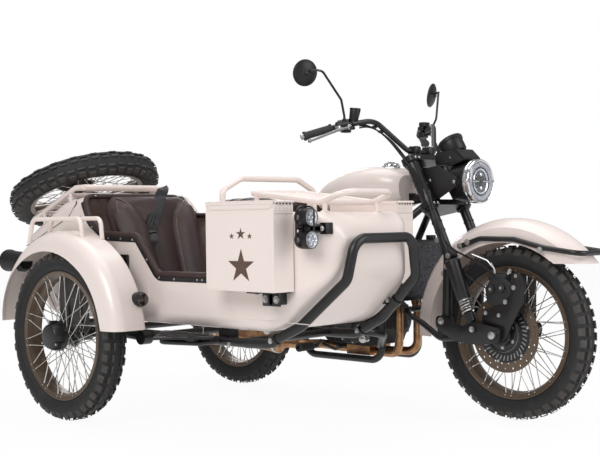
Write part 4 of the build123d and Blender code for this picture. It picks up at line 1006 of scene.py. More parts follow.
# ------------------------------------------------------------------ steering
@dataclass
class Headlight:
    """Round lamp with a bright bezel, a ring of light and two half reflectors.

    Attributes:
        centre: Middle of the lens.
        radius: Radius of the bezel.
        ring: Inner and outer radius of the ring of light.
    """

    centre: Point = (-160.0, 0.0, 932.0)
    radius: float = 89.0
    ring: tuple[float, float] = (58.0, 77.0)

    def build(self) -> None:
        """Model the lamp's parts."""
        r, (inner, outer) = self.radius, self.ring
        bezel = Shape("headlamp_bezel", Body.STEERING, Look.CHROME)
        bezel.turned([(-22, r - 3), (-22, r - 0.6), (-19, r), (-15, r), (-13, r - 1.2),
            (-9, r - 1.2), (-7, r), (2, r), (7, r - 2), (9, r - 5), (8, r - 8), (4, outer + 1),
            (-6, outer + 1)], self.centre, AHEAD, steps=72)
        for side in SIDES:
            bezel.block((self.centre[0] - 16, side * (r - 2), 926),
                (self.centre[0] + 4, side * (r + 5), 940), 2)
        bezel.settle()
        light = Shape("headlamp_light_ring", Body.STEERING, Look.DIODE)
        light.turned([(-4, inner), (3, inner), (6, inner + 4), (6, outer - 4), (3, outer),
            (-4, outer)], self.centre, AHEAD, steps=72)
        light.settle()
        cup = Shape("headlamp_cup", Body.STEERING, Look.DARK_AND_PAINTED_SHADE)
        cup.turned([(4, inner), (-2, inner - 4), (-4, 0.5), (-6, 0.5), (-6, inner)], self.centre,
            AHEAD)
        cup.settle()
        mirror = Shape("headlamp_reflectors", Body.STEERING, Look.REFLECTOR)
        for side in SIDES:
            centre = Vector(self.centre) + Vector((0, 0, 5 * side))
            bowl = [(-3, 0.5), (-3, 14), (-1, 26), (2, 37), (5, 46), (3, 47), (-3.5, 38), (-4, 0.5)]
            mirror.turned(bowl, centre, AHEAD, steps=28, angle=math.pi, across=(0, side, 0))
            ribs = mirror.block((centre[0] - 2, -0.6, centre[2] + side * 10),
                (centre[0] + 4, 0.6, centre[2] + side * 42))
            mirror.copies(ribs, [Matrix.Translation(centre) @ Matrix.Rotation(math.radians(angle),
                4, "X") @ Matrix.Translation(-centre) for angle in (-66, -44, -22, 22, 44, 66)])
            mirror.ball(centre + Vector((4, 0, 22 * side)), 8, (0.6, 1, 1), 8)
        mirror.block((self.centre[0] - 4, -inner + 3, 930), (self.centre[0] + 5, inner - 3, 934), 1)
        mirror.settle()
        lens = Shape("headlamp_lens", Body.STEERING, Look.LENS)
        lens.turned([(6.5, outer), (9.5, outer - 10), (12, outer - 34), (13, 0.5), (11.5, 0.5),
            (10.5, outer - 34), (8, outer - 10), (5, outer)], self.centre, AHEAD, steps=64)
        lens.settle()
        bolts = Shape("headlamp_bolts", Body.STEERING, Look.STEEL)
        for side in SIDES:
            bolts.screw((-222, side * 89.6, 931), (0, side, 0), 8)
            bolts.screw((-340, side * 89.6, 940), (0, side, 0), 7)
            bolts.screw((-262, side * 58, 1030), (0, side, 0), 4.5)
        bolts.settle()
        ears = Shape("headlamp_ears", Body.STEERING, Look.BLACK)
        for side in SIDES:
            ears.plate([(x, side * 87, z) for x, z in ((-392, 985), (-360, 900), (-300, 862),
                (-212, 912), (-206, 950), (-300, 1000))], (0, side * 5, 0), 14, 1.5)
            ears.plate([(x, side * 60, z) for x, z in ((-330, 1004), (-330, 1046), (-250, 1058),
                (-196, 1016))], (0, -side * 4, 0), 8, 1.5)
        ears.settle()


@dataclass
class Gauge:
    """Round instrument in a drum, tilted back towards the rider.

    Attributes:
        centre: Middle of its glass.
        tilt: Degrees that it leans back.
        radius: Radius of the drum.
        depth: Height of the drum.
    """

    centre: Point = (-306.0, 0.0, 1100.0)
    tilt: float = 34.0
    radius: float = 52.0
    depth: float = 64.0

    def build(self) -> None:
        """Model the drum, its dial and the glass."""
        lean = math.radians(self.tilt)
        axis = Vector((-math.sin(lean), 0, math.cos(lean)))
        r = self.radius
        drum = Shape("gauge_drum", Body.STEERING, Look.PLASTIC)
        drum.turned([(-self.depth, 0.5), (-self.depth, r - 12), (-self.depth + 8, r - 5),
            (-14, r - 2), (-12, r + 2), (-2, r + 3), (2, r + 1), (2, r - 5), (-5, r - 6),
            (-5, 0.5)], self.centre, axis, steps=64)
        drum.turned([(-self.depth - 20, 0.5), (-self.depth - 20, 18), (-self.depth + 1, 24),
            (-self.depth + 1, 0.5)], self.centre, axis, steps=24)
        drum.settle("gauge")
        dial = Shape("gauge_dial", Body.STEERING, Look.DIAL)
        dial.turned([(-4.8, 0.5), (-4.8, r - 6.2), (-3.2, r - 6.2), (-3.2, 0.5)], self.centre, axis,
            steps=48)
        dial.settle()
        marks = Shape("gauge_marks", Body.STEERING, Look.MARK)
        turn = Vector(UP).rotation_difference(axis).to_matrix().to_4x4()
        place = Matrix.Translation(Vector(self.centre)) @ turn
        for number in range(41):
            long = number % 5 == 0
            mark = marks.block((-0.5 - 0.4 * long, r - (17 if long else 13), -3.1),
                (0.5 + 0.4 * long, r - 9, -2.6))
            bmesh.ops.transform(marks.mesh, matrix=place @ Matrix.Rotation(math.radians(135 - number
                * 6.75), 4, "Z"), verts=mark)
        needle = marks.block((-0.9, -8, -2.4), (0.9, r - 18, -1.6))
        needle += marks.rod((0, 0, -2.6), DOWN, 5)
        bmesh.ops.transform(marks.mesh, matrix=place @ Matrix.Rotation(math.radians(135), 4, "Z"),
            verts=needle)
        marks.settle()
        glass = Shape("gauge_glass", Body.STEERING, Look.LENS)
        glass.turned([(0.6, 0.5), (-0.4, r - 5.4), (0.8, r - 5.4), (1.8, 0.5)], self.centre, axis,
            steps=48)
        glass.settle()


@dataclass
class Mirrors:
    """Two round mirrors on bent stems.

    Attributes:
        radius: Radius of a mirror.
        heads: Middle of each glass and where it faces.
        stems: Each stem's corners, from its foot up.
    """

    radius: float = 55.0
    heads: tuple[tuple[Point, Point], ...] = (((-716, -420, 1385), (-0.93, 0.3, 0.2)),
        ((-716, 418, 1352), (-0.92, -0.34, 0.2)))
    stems: tuple[tuple[Point, ...], ...] = (((-640, -268, 1180), (-634, -276, 1212),
        (-628, -300, 1276), (-652, -384, 1388), (-672, -396, 1394), (-690, -414, 1389)),
        ((-600, 262, 1180), (-580, 272, 1226), (-618, 340, 1345), (-640, 372, 1356),
        (-690, 412, 1356)))

    def build(self) -> None:
        """Model heads, glasses and stems."""
        shells = Shape("mirror_shells", Body.STEERING, Look.PLASTIC)
        glass = Shape("mirror_glasses", Body.STEERING, Look.SILVER_GLASS)
        stems = Shape("mirror_stems", Body.STEERING, Look.BLACK)
        r = self.radius
        for (centre, facing), stem in zip(self.heads, self.stems):
            shells.turned([(2, r - 2.5), (3, r - 1), (1.5, r), (-3, r - 0.4), (-8, r - 8),
                (-13, r - 22), (-16, r - 38), (-17, 0.5), (-2, 0.5), (0, r - 3)], centre, facing,
                steps=48)
            glass.turned([(0.6, 0.5), (0.6, r - 3), (1.6, r - 3), (1.9, 0.5)], centre, facing,
                steps=48)
            stems.tube(stem, 5, 22)
            back = Vector(centre) - Vector(facing).normalized() * 15
            stems.ball(back, 10)
            stems.rod(stem[0], Vector(stem[0]) + (Vector(stem[1]) - Vector(stem[0])).normalized()
                * 22, 8.5, sides=6)
        shells.settle("mirrors")
        glass.settle()
        stems.settle()


@dataclass
class Bars:
    """Grips, levers, switch housings, the brake reservoir and their lines.

    Attributes:
        grip: Inner and outer end of the right grip.
        lever: Corners of the right lever, from its pivot out.
    """

    grip: tuple[Point, Point] = ((-688, -297.5, 1164.2), (-748, -412, 1126))
    lever: tuple[Point, ...] = ((-614, -268, 1164), (-622, -300, 1158), (-650, -345, 1139),
        (-690, -402, 1112), (-700, -414, 1108))

    def side(self, point: Point, side: int) -> Vector:
        """Point of the right side, mirrored for the left."""
        return Vector((point[0], -side * point[1], point[2]))

    def build(self) -> None:
        """Model both hands' controls."""
        grips = Shape("grip_rubbers", Body.STEERING, Look.GRIP)
        levers = Shape("hand_levers", Body.STEERING, Look.ALLOY)
        boxes = Shape("switch_boxes", Body.STEERING, Look.PLASTIC)
        bright = Shape("bar_fittings", Body.STEERING, Look.STEEL)
        for side in SIDES:
            start, end = self.side(self.grip[0], side), self.side(self.grip[1], side)
            way = (end - start).normalized()
            grips.turned([(0, 12.2), (0, 19), (4, 19.5), (7, 16.5), (12, 15.6), (110, 16),
                (116, 19), (121, 20), (124, 19), (124, 12.2)], start, way, steps=28)
            bright.rod(start + way * 124, start + way * 138, 13, tip=11, bevel=2)
            route = [self.side(point, side) for point in self.lever]
            levers.tube(route, 5.4, 40, sides=12)
            levers.ball(route[-1], 8.5)
            levers.rod(route[0] + Vector((0, 0, -9)), route[0] + Vector((0, 0, 9)), 11, bevel=1.5)
            bright.bolt(route[0] + Vector((0, 0, 9)), UP, 5, 4)
            inner = self.side((-636, -258, 1178), side)
            outer = self.side((-674, -283, 1170), side)
            axis = (outer - inner).normalized()
            boxes.turned([(-14, 11.4), (-14, 19), (-11, 22), (12, 22), (14, 24), (34, 24), (38, 20),
                (46, 18), (46, 11.4)], inner, axis, steps=24)
            boxes.block(inner + Vector((-20, -20, -34)), inner + Vector((12, 16, -6)), 5, 2)
            boxes.block(self.side((-640, -262, 1160), side) - Vector((10, 12, 6)),
                self.side((-606, -262, 1160), side) + Vector((10, 12, 8)), 4)
            for height in (-12, 12):
                bright.screw(inner + axis * 24 + Vector((-24, 0, height * 0.6)), BACK, 3)
        bright.block((-668, -302, 1150), (-640, -276, 1172), 4)
        boxes.rod((-620, -236, 1192), (-612, -232, 1240), 19, tip=23, bevel=3, sides=32)
        boxes.rod((-613, -232, 1238), (-612, -232, 1246), 24, tip=22, bevel=2, sides=32)
        boxes.block((-634, -256, 1176), (-606, -214, 1194), 4)
        boxes.block((-640, 214, 1176), (-612, 256, 1192), 4)
        boxes.block((-636, 218, 1190), (-606, 262, 1212), 4)
        levers.settle()
        grips.settle("grips")
        boxes.settle("controls")
        bright.settle()
        clamps = Shape("bar_clamps", Body.STEERING, Look.BLACK)
        caps = Shape("bar_clamp_bolts", Body.STEERING, Look.STEEL)
        for side in SIDES:
            clamps.block((-476, side * 46 - 18, 1040), (-428, side * 46 + 18, 1086), 8)
            for x in (-466, -438):
                for y in (-10, 10):
                    caps.screw((x, side * 46 + y, 1086), UP, 4.6)
            caps.bolt((-429, side * 108, 1037), (-0.44, 0, 0.9), 17, 8, washer=False)
        caps.bolt((-463, 0, 1032), (-0.44, 0, 0.9), 18, 10)
        clamps.settle()
        caps.settle()
        self.lines()

    def lines(self) -> None:
        """Cables and hoses that run down from the bars."""
        lines = Shape("bar_lines", Body.STEERING, Look.PLASTIC)
        for side in SIDES:
            for number in range(3):
                spread = number * 9 - 9
                route = [(-600, side * 222, 1172 - spread), (-560, side * (205 - spread), 1176),
                    (-500, side * (150 + spread), 1120), (-452, side * (128 + spread), 1046),
                    (-372, side * (146 + spread), 980), (-330, side * (140 + spread), 880),
                    (-330, side * (96 + spread), 812)]
                lines.tube(route, 3.6, smooth=True, sides=8)
            for share in (0.25, 0.6):
                lines.ball((-560 + share * 60, side * (205 - share * 50), 1178 - share * 55), 14,
                    (0.9, 1, 0.5), 8)
        lines.tube([(-300, -150, 900), (-262, -158, 780), (-232, -150, 700), (-200, -128, 660),
            (-150, -116, 640), (-60, -122, 600), (-18, -112, 566)], 4, smooth=True, sides=8)
        lines.tube([(-312, -146, 880), (-270, -150, 760), (-252, -146, 660), (-150, -112, 560),
            (-80, -108, 520), (-46, -108, 510)], 3, smooth=True, sides=8)
        lines.settle()


@dataclass
class SpringLeg:
    """Damper with a spring, from its upper eye to its lower one.

    Attributes:
        top: Upper eye.
        foot: Lower eye.
        cover: Radius of the upper cover.
        coil: Radius of the spring.
        share: How far down the cover reaches.
        turns: Turns of the spring that show.
    """

    top: Point
    foot: Point
    cover: float = 29.0
    coil: float = 24.0
    share: float = 0.56
    turns: int = 4

    def add(self, dark: Shape, bright: Shape) -> None:
        """Add the leg to a black and a bright piece."""
        top, foot = Vector(self.top), Vector(self.foot)
        run = foot - top
        way, long = run.normalized(), run.length
        edge = long * self.share
        if self.cover:
            dark.turned([(14, 8), (18, self.cover - 5), (24, self.cover), (edge - 4, self.cover),
                (edge, self.cover - 2), (edge, 8)], top, way, steps=36)
        low = long * 0.92
        dark.turned([(edge - 4, 6), (edge - 4, 12), (low - 46, 12), (low - 42, self.coil - 3),
            (low - 8, self.coil - 5), (low, 10), (low, 6)], top, way, steps=32)
        first, last = (edge if self.cover else 26), low - 44
        helix = self._helix(top, way, first, last)
        bright.tube(helix, 3.6, sides=8)
        for end in (top, foot):
            dark.rod(end + Vector((0, -13, 0)), end + Vector((0, 13, 0)), 15, bevel=2, sides=24)
        for end in (top, foot):
            out = Vector((0, 1 if end.y > 0 else -1, 0))
            bright.bolt(end + out * 15, out, 8, 6)
        bright.turned([(first + 1, self.coil - 2), (first + 1, self.coil + 2.6),
            (first + 4, self.coil + 2.6), (first + 4, self.coil - 2)], top, way, steps=32)
        bright.turned([(edge - 2, 6), (edge - 2, 9), (last + 6, 9), (last + 6, 6)], top, way,
            steps=20)

    def _helix(self, top: Vector, way: Vector, first: float, last: float) -> list[Vector]:
        """Points of the spring's wire."""
        side = Vector(LEFT)
        across = way.cross(side).normalized()
        steps = self.turns * 20
        return [top + way * (first + (last - first) * step / steps)
            + (side * math.cos(FULL_TURN * step / 20) + across * math.sin(FULL_TURN * step / 20))
            * self.coil for step in range(steps + 1)]


@dataclass
class FrontEnd:
    """Fork fittings, spring legs, the link's bolts and the front brake."""

    disc_y: float = -77.0
    axle: Point = FRONT_HUB

    def build(self) -> None:
        """Model every part below the clamps."""
        self.legs()
        self.brake()
        self.guard()

    def legs(self) -> None:
        """Spring legs, clamp bolts and pivots."""
        dark = Shape("fork_spring_legs", Body.STEERING, Look.BLACK)
        bright = Shape("fork_leg_bolts", Body.STEERING, Look.STEEL)
        for side in SIDES:
            SpringLeg((-205, side * 142, 640), (-96, side * 142, 357), 30, 24, 0.6, 5).add(dark,
                bright)
            bright.bolt((-250, side * 148, 381), (0, side, 0), 10, 8)
            bright.bolt((-96, side * 158, 357), (0, side, 0), 8, 6)
            bright.rod((0, side * 150, 340), (0, side * 170, 340), 15, bevel=2.5, sides=32)
            bright.rod((0, side * 166, 340), (0, side * 171, 340), 10, bevel=1, sides=6)
            for height, ahead in ((1004, 46), (818, 46)):
                x = 31 - height * math.tan(RAKE) + ahead * 0.9
                bright.screw((x + 34, side * 96, height + ahead * 0.44 + 12), (0.9, 0, 0.44), 6)
                bright.screw((x + 34, side * 120, height + ahead * 0.44 + 12), (0.9, 0, 0.44), 6)
            for x, z in ((-278, 700), (-236, 596)):
                bright.bolt((x, side * 129, z), (0, side, 0), 8, 6)
            dark.plate([(x, side * 144, z) for x, z in ((-276, 404), (-226, 398), (-150, 366),
                (-96, 386), (-40, 378), (28, 366), (24, 312), (-70, 296), (-190, 306),
                (-276, 356))], (0, side * 5, 0), 22, 1.5)
        dark.settle("fork_shocks")
        bright.settle()
        bands = Shape("fork_leg_bands", Body.STEERING, Look.PLASTIC)
        top, low = Vector((-429, 0, 1036)), Vector((-318, 0, 824))
        way = (low - top).normalized()
        for side in SIDES:
            foot = low + Vector((0, side * 108, 0))
            bands.turned([(-14, 26.5), (-14, 29.5), (2, 29.5), (6, 24), (6, 20.5)], foot, way,
                steps=36)
            bands.turned([(-120, 26.8), (-120, 28.2), (-114, 28.2), (-114, 26.8)], foot, way,
                steps=36)
            for share in (0.1, 0.3):
                leg = foot + (Vector((-238, side * 108, 648)) - foot) * (0.2 + share)
                bands.turned([(-3, 19.5), (-3, 22), (3, 22), (3, 19.5)], leg,
                    Vector((-238, side * 108, 648)) - foot, steps=28)
        bands.settle()

    def brake(self) -> None:
        """Caliper, its torque plate, the carrier and the drum cover behind them."""
        y, (ax, _, az) = self.disc_y, self.axle
        carrier = Shape("front_disc_carrier", Body.FRONT_WHEEL, Look.BLACK)
        carrier.turned([(0.3, 14), (0.3, 110), (2.2, 112), (4, 110), (4, 76), (12, 70), (14, 64),
            (14, 14)], (ax, y, az), RIGHT, steps=64)
        slots = Shape("front_disc_slots", Body.FRONT_WHEEL, Look.ALLOY)
        slot = slots.block((ax - 2.4, y - 4.7, az + 84), (ax + 2.4, y - 3.9, az + 104), 0.4, 1,
            Matrix.Rotation(math.radians(18), 4, "Y"))
        slots.copies(slot, spin_about(self.axle, LEFT, 36))
        slots.settle()
        carrier.settle()
        buttons = Shape("front_disc_bolts", Body.FRONT_WHEEL, Look.STEEL)
        foot = len(buttons.mesh.verts)
        buttons.bolt((ax, y - 14, az + 52), RIGHT, 5, 4)
        buttons.rod((ax + 28, y + 0.2, az + 106), (ax + 28, y - 6, az + 106), 6, bevel=1, sides=20)
        buttons.turned([(13.6, 70), (14.6, 69), (14.6, 66.5), (13.6, 66)], (ax, y, az), RIGHT,
            steps=64)
        buttons.mesh.verts.ensure_lookup_table()
        buttons.copies(buttons.mesh.verts[foot:], spin_about(self.axle, LEFT, 6))
        buttons.settle()
        body = Shape("front_caliper_body", Body.STEERING, Look.CAST)
        far = y - 8
        body.plate([(x, far, z) for x, z in ((-56, 462), (-64, 516), (-40, 548), (26, 556),
            (58, 536), (62, 480), (34, 446), (-20, 440))], (0, -30, 0), 16, 5)
        for x, z in ((-34, 512), (14, 518), (44, 500)):
            body.rod((x, far - 29, z), (x, far - 38, z), 17, bevel=3, sides=28)
        body.block((-50, far - 26, 545), (30, y + 24, 572), 6)
        body.plate([(x, y + 12, z) for x, z in ((-60, 470), (-60, 540), (-20, 560), (40, 560),
            (60, 520), (52, 470))], (0, 14, 0), 10, 3)
        body.settle("front_caliper")
        plate = Shape("brake_torque_plate", Body.STEERING, Look.BLACK)
        plate.plate([(x, far - 32, z) for x, z in ((-40, 324), (34, 318), (60, 372), (112, 462),
            (122, 540), (96, 588), (64, 572), (58, 500), (26, 452), (-46, 440), (-74, 400))],
            (0, -7, 0), 22, 1.5)
        plate.turned([(0, 12), (0, 42), (5, 46), (22, 46), (26, 42), (26, 12)], (0, far - 4, 340),
            RIGHT, steps=40)
        plate.rod((0, far - 28, 340), (0, -146, 340), 15, bevel=1)
        plate.settle()
        bolts = Shape("front_brake_bolts", Body.STEERING, Look.STEEL)
        for x, z, size in ((74, 522, 6.5), (36, 466, 6.5), (6, 414, 5.5), (-54, 420, 5.5),
                (84, 566, 5)):
            bolts.bolt((x, far - 39, z), RIGHT, size, 6)
        for x, z in ((-34, 512), (14, 518)):
            bolts.screw((x, far - 38, z), RIGHT, 6)
        bolts.rod((-28, far - 12, 572), (-28, far - 12, 586), 8, sides=6)
        bolts.rod((-28, far - 12, 586), (-44, far - 14, 612), 4.5, sides=12)
        bolts.rod((30, far - 12, 570), (44, far - 12, 592), 7, bevel=1, sides=16)
        bolts.tube([(-28, far - 12, 584), (-60, far - 14, 622), (-118, -120, 646)], 3.2, 20)
        bolts.settle()

    def guard(self) -> None:
        """Rail clips and rolled lips of the front mudguard."""
        clips = Shape("front_rail_bolts", Body.STEERING, Look.STEEL)
        for side in SIDES:
            for x, z in ((178, 664), (-150, 692), (-186, 676)):
                clips.bolt((x, side * 106, z), (0, side, 0), 8.5, 7)
                clips.rod((x, side * 84, z), (x, side * 106, z), 6.5)
            clips.bolt((-262, side * 112, 566), (0, side, 0), 8, 6)
        clips.settle()
        lip = Shape("front_mudguard_lips", Body.STEERING, Look.CREAM)
        centre = Vector(FRONT_HUB)
        for side in SIDES:
            start, end = math.radians(38.5), math.radians(157)
            count = 40
            route = [centre + Vector((352.6 * math.cos(start + (end - start) * n / count),
                side * 82.4, 352.6 * math.sin(start + (end - start) * n / count)))
                for n in range(count + 1)]
            lip.tube([point for point in route if point.z > 614 or point.x < 0], 2.6, sides=8)
        lip.settle()


# ------------------------------------------------------------------ leather and webbing
def swell(amount: float, sharpness: float = 6.0) -> float:
    """Height of a pad's crown at a place from -1 to 1 across it, falling to nothing at its edge."""
    return math.sqrt(max(0.0, 1.0 - abs(amount) ** sharpness))


@dataclass
class Pad:
    """Leather pad between a front and a back surface, blown up by a short simulation.

    Attributes:
        name: The pad's name.
        fill: How tightly it is filled, from 0 to 1; not used.
        reach: The most that a point of it may move, in millimetres.
        voxel: Size of its remeshed faces, in millimetres.
        pressure: Air pressure that blows it up.
        frames: Frames that the simulation runs.
    """

    name: str
    fill: float = 0.75
    reach: float = 7.0
    voxel: float = 7.0
    pressure: float = 4.0
    frames: int = 20

    def closed(self, front: Callable[[float, float], Vector],
            back: Callable[[float, float], Vector], columns: int = 44, rows: int = 40) -> Shape:
        """Close two surfaces that meet along their edges.

        Args:
            front: Place of the front surface at a pair of shares from 0 to 1.
            back: Place of the back surface there.
            columns: Faces across.
            rows: Faces along.

        Returns:
            The closed shape.
        """
        shape = Shape(self.name, Body.CHASSIS, Look.LEATHER)
        for number, surface in enumerate((front, back)):
            grid = [[shape.mesh.verts.new(surface(column / columns, row / rows))
                for column in range(columns + 1)] for row in range(rows + 1)]
            for low, high in zip(grid, grid[1:]):
                for column in range(columns):
                    corners = (low[column], low[column + 1], high[column + 1], high[column])
                    shape.mesh.faces.new(corners if number else corners[::-1])
        bmesh.ops.remove_doubles(shape.mesh, verts=shape.mesh.verts, dist=0.05)
        return shape

    def finish(self, shape: Shape, *replaced: str) -> bpy.types.Object:
        """Remesh the pad, blow it up, cap how far it swelled and smooth it."""
        pad = shape.settle(*replaced, crease=180.0)
        even = pad.modifiers.new("even", "REMESH")
        even.mode, even.voxel_size, even.use_smooth_shade = "VOXEL", self.voxel * MILLIMETRE, True
        self._bake(pad)
        rest = [vert.co.copy() for vert in pad.data.vertices]
        cloth = pad.modifiers.new("air", "CLOTH")
        settings = cloth.settings
        settings.use_pressure, settings.uniform_pressure_force = True, self.pressure
        settings.effector_weights.gravity = 0.0
        settings.quality, settings.mass = 4, 0.3
        settings.tension_stiffness = settings.compression_stiffness = 18.0
        cloth.point_cache.frame_start, cloth.point_cache.frame_end = 1, self.frames
        for frame in range(1, self.frames + 1):
            bpy.context.scene.frame_set(frame)
        self._bake(pad)
        limit = self.reach * MILLIMETRE
        for vert, start in zip(pad.data.vertices, rest):
            step = vert.co - start
            if step.length > limit:
                vert.co = start + step.normalized() * limit
        bpy.context.scene.frame_set(1)
        smooth = pad.modifiers.new("smooth", "SUBSURF")
        smooth.levels = smooth.render_levels = 1
        return pad

    def _bake(self, pad: bpy.types.Object) -> None:
        """Apply the pad's modifiers to its mesh."""
        bpy.context.view_layer.update()
        graph = bpy.context.evaluated_depsgraph_get()
        mesh = bpy.data.meshes.new_from_object(pad.evaluated_get(graph))
        pad.modifiers.clear()
        old, pad.data = pad.data, mesh
        bpy.data.meshes.remove(old)
        mesh.materials.clear()
        mesh.materials.append(Look.LEATHER.material())
        for face in mesh.polygons:
            face.use_smooth, face.material_index = True, 0


def stitches(shape: Shape, route: Sequence[Point], lift: Point, pitch: float = 7.0) -> None:
    """Sew a line of thread stitches along a route.

    Args:
        shape: The piece that gathers them.
        route: Points of the seam.
        lift: Way that the leather faces.
        pitch: Length of one stitch and the gap after it.
    """
    path = [Vector(point) for point in route]
    up = Vector(lift).normalized()
    carry = 0.0
    for start, end in zip(path, path[1:]):
        run, way = (end - start).length, (end - start).normalized()
        while carry + pitch * 0.68 <= run:
            first, last = start + way * carry, start + way * (carry + pitch * 0.68)
            shape.rod(first + up * 0.2, last + up * 0.2, 0.75, sides=5)
            carry += pitch
        carry = max(0.0, carry - run)


SEAT_FACING = (0.938, 0, 0.346)


@dataclass
class SidecarSeat:
    """Wide back with two bolsters, a cushion, stitching and the belt.

    Attributes:
        middle: Y of the seat's middle.
        half: Half of its width.
        foot: Front lower edge of the back.
        head: Front upper edge of the back.
    """

    middle: float = -749.0
    half: float = 226.0
    foot: Point = (-1146.0, 0.0, 446.0)
    head: Point = (-1320.0, 0.0, 908.0)

    def width(self, height: float) -> float:
        """Half width of the back at a share of its height."""
        return self.half * (1.0 - 0.2 * max(0.0, (height - 0.84) / 0.16) ** 2.2)

    def valley(self, height: float) -> float:
        """How far from the middle the bolster's seam lies at a share of the height."""
        return min(52 + 33 * height + 130 * max(0.0, (height - 0.6) / 0.4) ** 2.6,
            self.width(height) - 12)

    def bulge(self, aside: float, height: float) -> float:
        """How far the back's face stands out at a distance from its middle."""
        valley = self.valley(height)
        top = 1.0 - max(0.0, (height - 0.6) / 0.4) ** 2
        if aside < valley:
            return 12 + 14 * math.cos(math.pi / 2 * aside / valley)
        share = min(1.0, (aside - valley) / (self.width(height) - valley))
        return 12 + (8 + 54 * top) * math.sin(math.pi * share ** 0.8)

    def face(self, aside: float, height: float, out: float = 0.0) -> Vector:
        """Point of the back's front face, `aside` millimetres from its middle."""
        line = Vector(self.foot).lerp(Vector(self.head), height)
        normal = Vector(SEAT_FACING)
        shrink = swell(aside / self.width(height), 7) * swell(2 * height - 1, 9)
        place = line + normal * (self.bulge(abs(aside), height) + 22) * shrink - normal * 26
        place.y = self.middle + aside
        return place + normal * out

    def back_pad(self) -> None:
        """The back."""
        normal = Vector(SEAT_FACING)

        def front(across: float, up: float) -> Vector:
            """Point of the front."""
            return self.face((2 * across - 1) * self.width(up), up)

        def rear(across: float, up: float) -> Vector:
            """Point of the rear."""
            aside = (2 * across - 1) * self.width(up)
            line = Vector(self.foot).lerp(Vector(self.head), up)
            shrink = swell(2 * across - 1, 7) * swell(2 * up - 1, 9)
            place = line - normal * (26 + (24 + 16 * up) * shrink)
            place.y = self.middle + aside
            return place

        pad = Pad("sidecar_seat_back", 0.8, 6.0, 7.0)
        pad.finish(pad.closed(front, rear, 60, 56), "seat_back")

    def cushion_pad(self) -> None:
        """The cushion."""

        def height_at(along: float) -> float:
            """Height of the cushion's top."""
            return 506 - 30 * along

        def upper(across: float, along: float) -> Vector:
            """Point of the cushion's top."""
            crown = swell(2 * across - 1, 6) * swell(2 * along - 1, 6)
            side = abs(2 * across - 1)
            rise = 6 * math.sin(math.pi * min(1.0, side / 0.5) * 0.5) + (14
                * max(0.0, (side - 0.45) / 0.55) ** 1.2)
            return Vector((-728 - 384 * along, self.middle + (2 * across - 1) * 224,
                462 + (height_at(along) - 462 + rise) * crown))

        def lower(across: float, along: float) -> Vector:
            """Point of the cushion's underside."""
            crown = swell(2 * across - 1, 6) * swell(2 * along - 1, 6)
            return Vector((-728 - 384 * along, self.middle + (2 * across - 1) * 224,
                462 - 20 * crown))

        pad = Pad("sidecar_seat_cushion", 0.8, 6.0, 7.0)
        pad.finish(pad.closed(upper, lower, 50, 44), "seat_cushion")

    def thread(self) -> None:
        """Double stitching along the valleys of the back and round the cushion."""
        sewn = Shape("sidecar_seat_stitching", Body.CHASSIS, Look.THREAD)
        welt = Shape("sidecar_seat_welts", Body.CHASSIS, Look.LEATHER)
        for side in SIDES:
            shares = [0.06 + 0.9 * step / 36 for step in range(37)]
            stitches(sewn, [self.face(side * (self.valley(share) + 4.5), share, 5.8)
                for share in shares], SEAT_FACING)
            welt.tube([self.face(side * self.valley(share), share, 4.4) for share in shares], 2.0,
                sides=8)
            stitches(sewn, [self.face(side * (self.width(share) - 24), share, 5.4)
                for share in shares[:-2]], (0.938, side * 0.4, 0.346))
        for x, height in ((-772, 515.4375), (-1070, 486)):
            row = [(x, self.middle - 200 + 400 * n / 24, height) for n in range(25)]
            stitches(sewn, row, UP)
        welt.settle()
        sewn.settle()

    def belt(self) -> None:
        """Flat strap across the back, with its buckle."""
        line = [Vector(point) for point in ((-1440, -590, 880), (-1416, -606, 915),
            (-1392, -625, 934), (-1345, -660, 935), (-1304, -688, 920))]
        for step in range(1, 13):
            share = step / 12
            height = (914 - 446 - 226 * share) / 462
            line.append(self.face(56 - 164 * share, min(0.97, height), 9))
        line.extend([Vector((-1176, -884, 600)), Vector((-1164, -892, 540))])
        strap = Shape("belt_strap", Body.CHASSIS, Look.BELT)
        self.ribbon(strap, rounded(line, 14), 23, 0.9)
        strap.settle("seat_belt")
        buckle = Shape("belt_buckle", Body.CHASSIS, Look.PLASTIC)
        run = [point + Vector((3, 0, 1.2)) for point in line[10:15]]
        self.ribbon(buckle, run, 26, 4.5)
        for offset in (-10, 10):
            across = Vector((0.1, 0.93, 0.36)) * offset + Vector((4.5, 0, 1.8))
            self.ribbon(buckle, [point + across for point in run[:3]], 5.5, 3)
        buckle.settle()

    def ribbon(self, shape: Shape, path: Sequence[Vector], half: float, thick: float) -> None:
        """Add a flat strip along a path, `half` wide each way and `thick` each way."""
        wide = Vector((0.1, 0.93, 0.36)).normalized()
        rows = []
        for number, point in enumerate(path):
            ahead = (path[min(number + 1, len(path) - 1)] - path[max(number - 1, 0)]).normalized()
            side = (wide - ahead * wide.dot(ahead)).normalized()
            lift = ahead.cross(side).normalized() * thick
            rows.append([shape.mesh.verts.new(point + side * a * half + lift * b) for a,
                b in ((-1, -0.6), (-1, 0.6), (-0.94, 1), (0.94, 1), (1, 0.6), (1, -0.6), (0.94, -1),
                (-0.94, -1))])
        shape.skin(rows)

    def build(self) -> None:
        """Model the whole seat."""
        self.back_pad()
        self.cushion_pad()
        self.thread()
        self.belt()


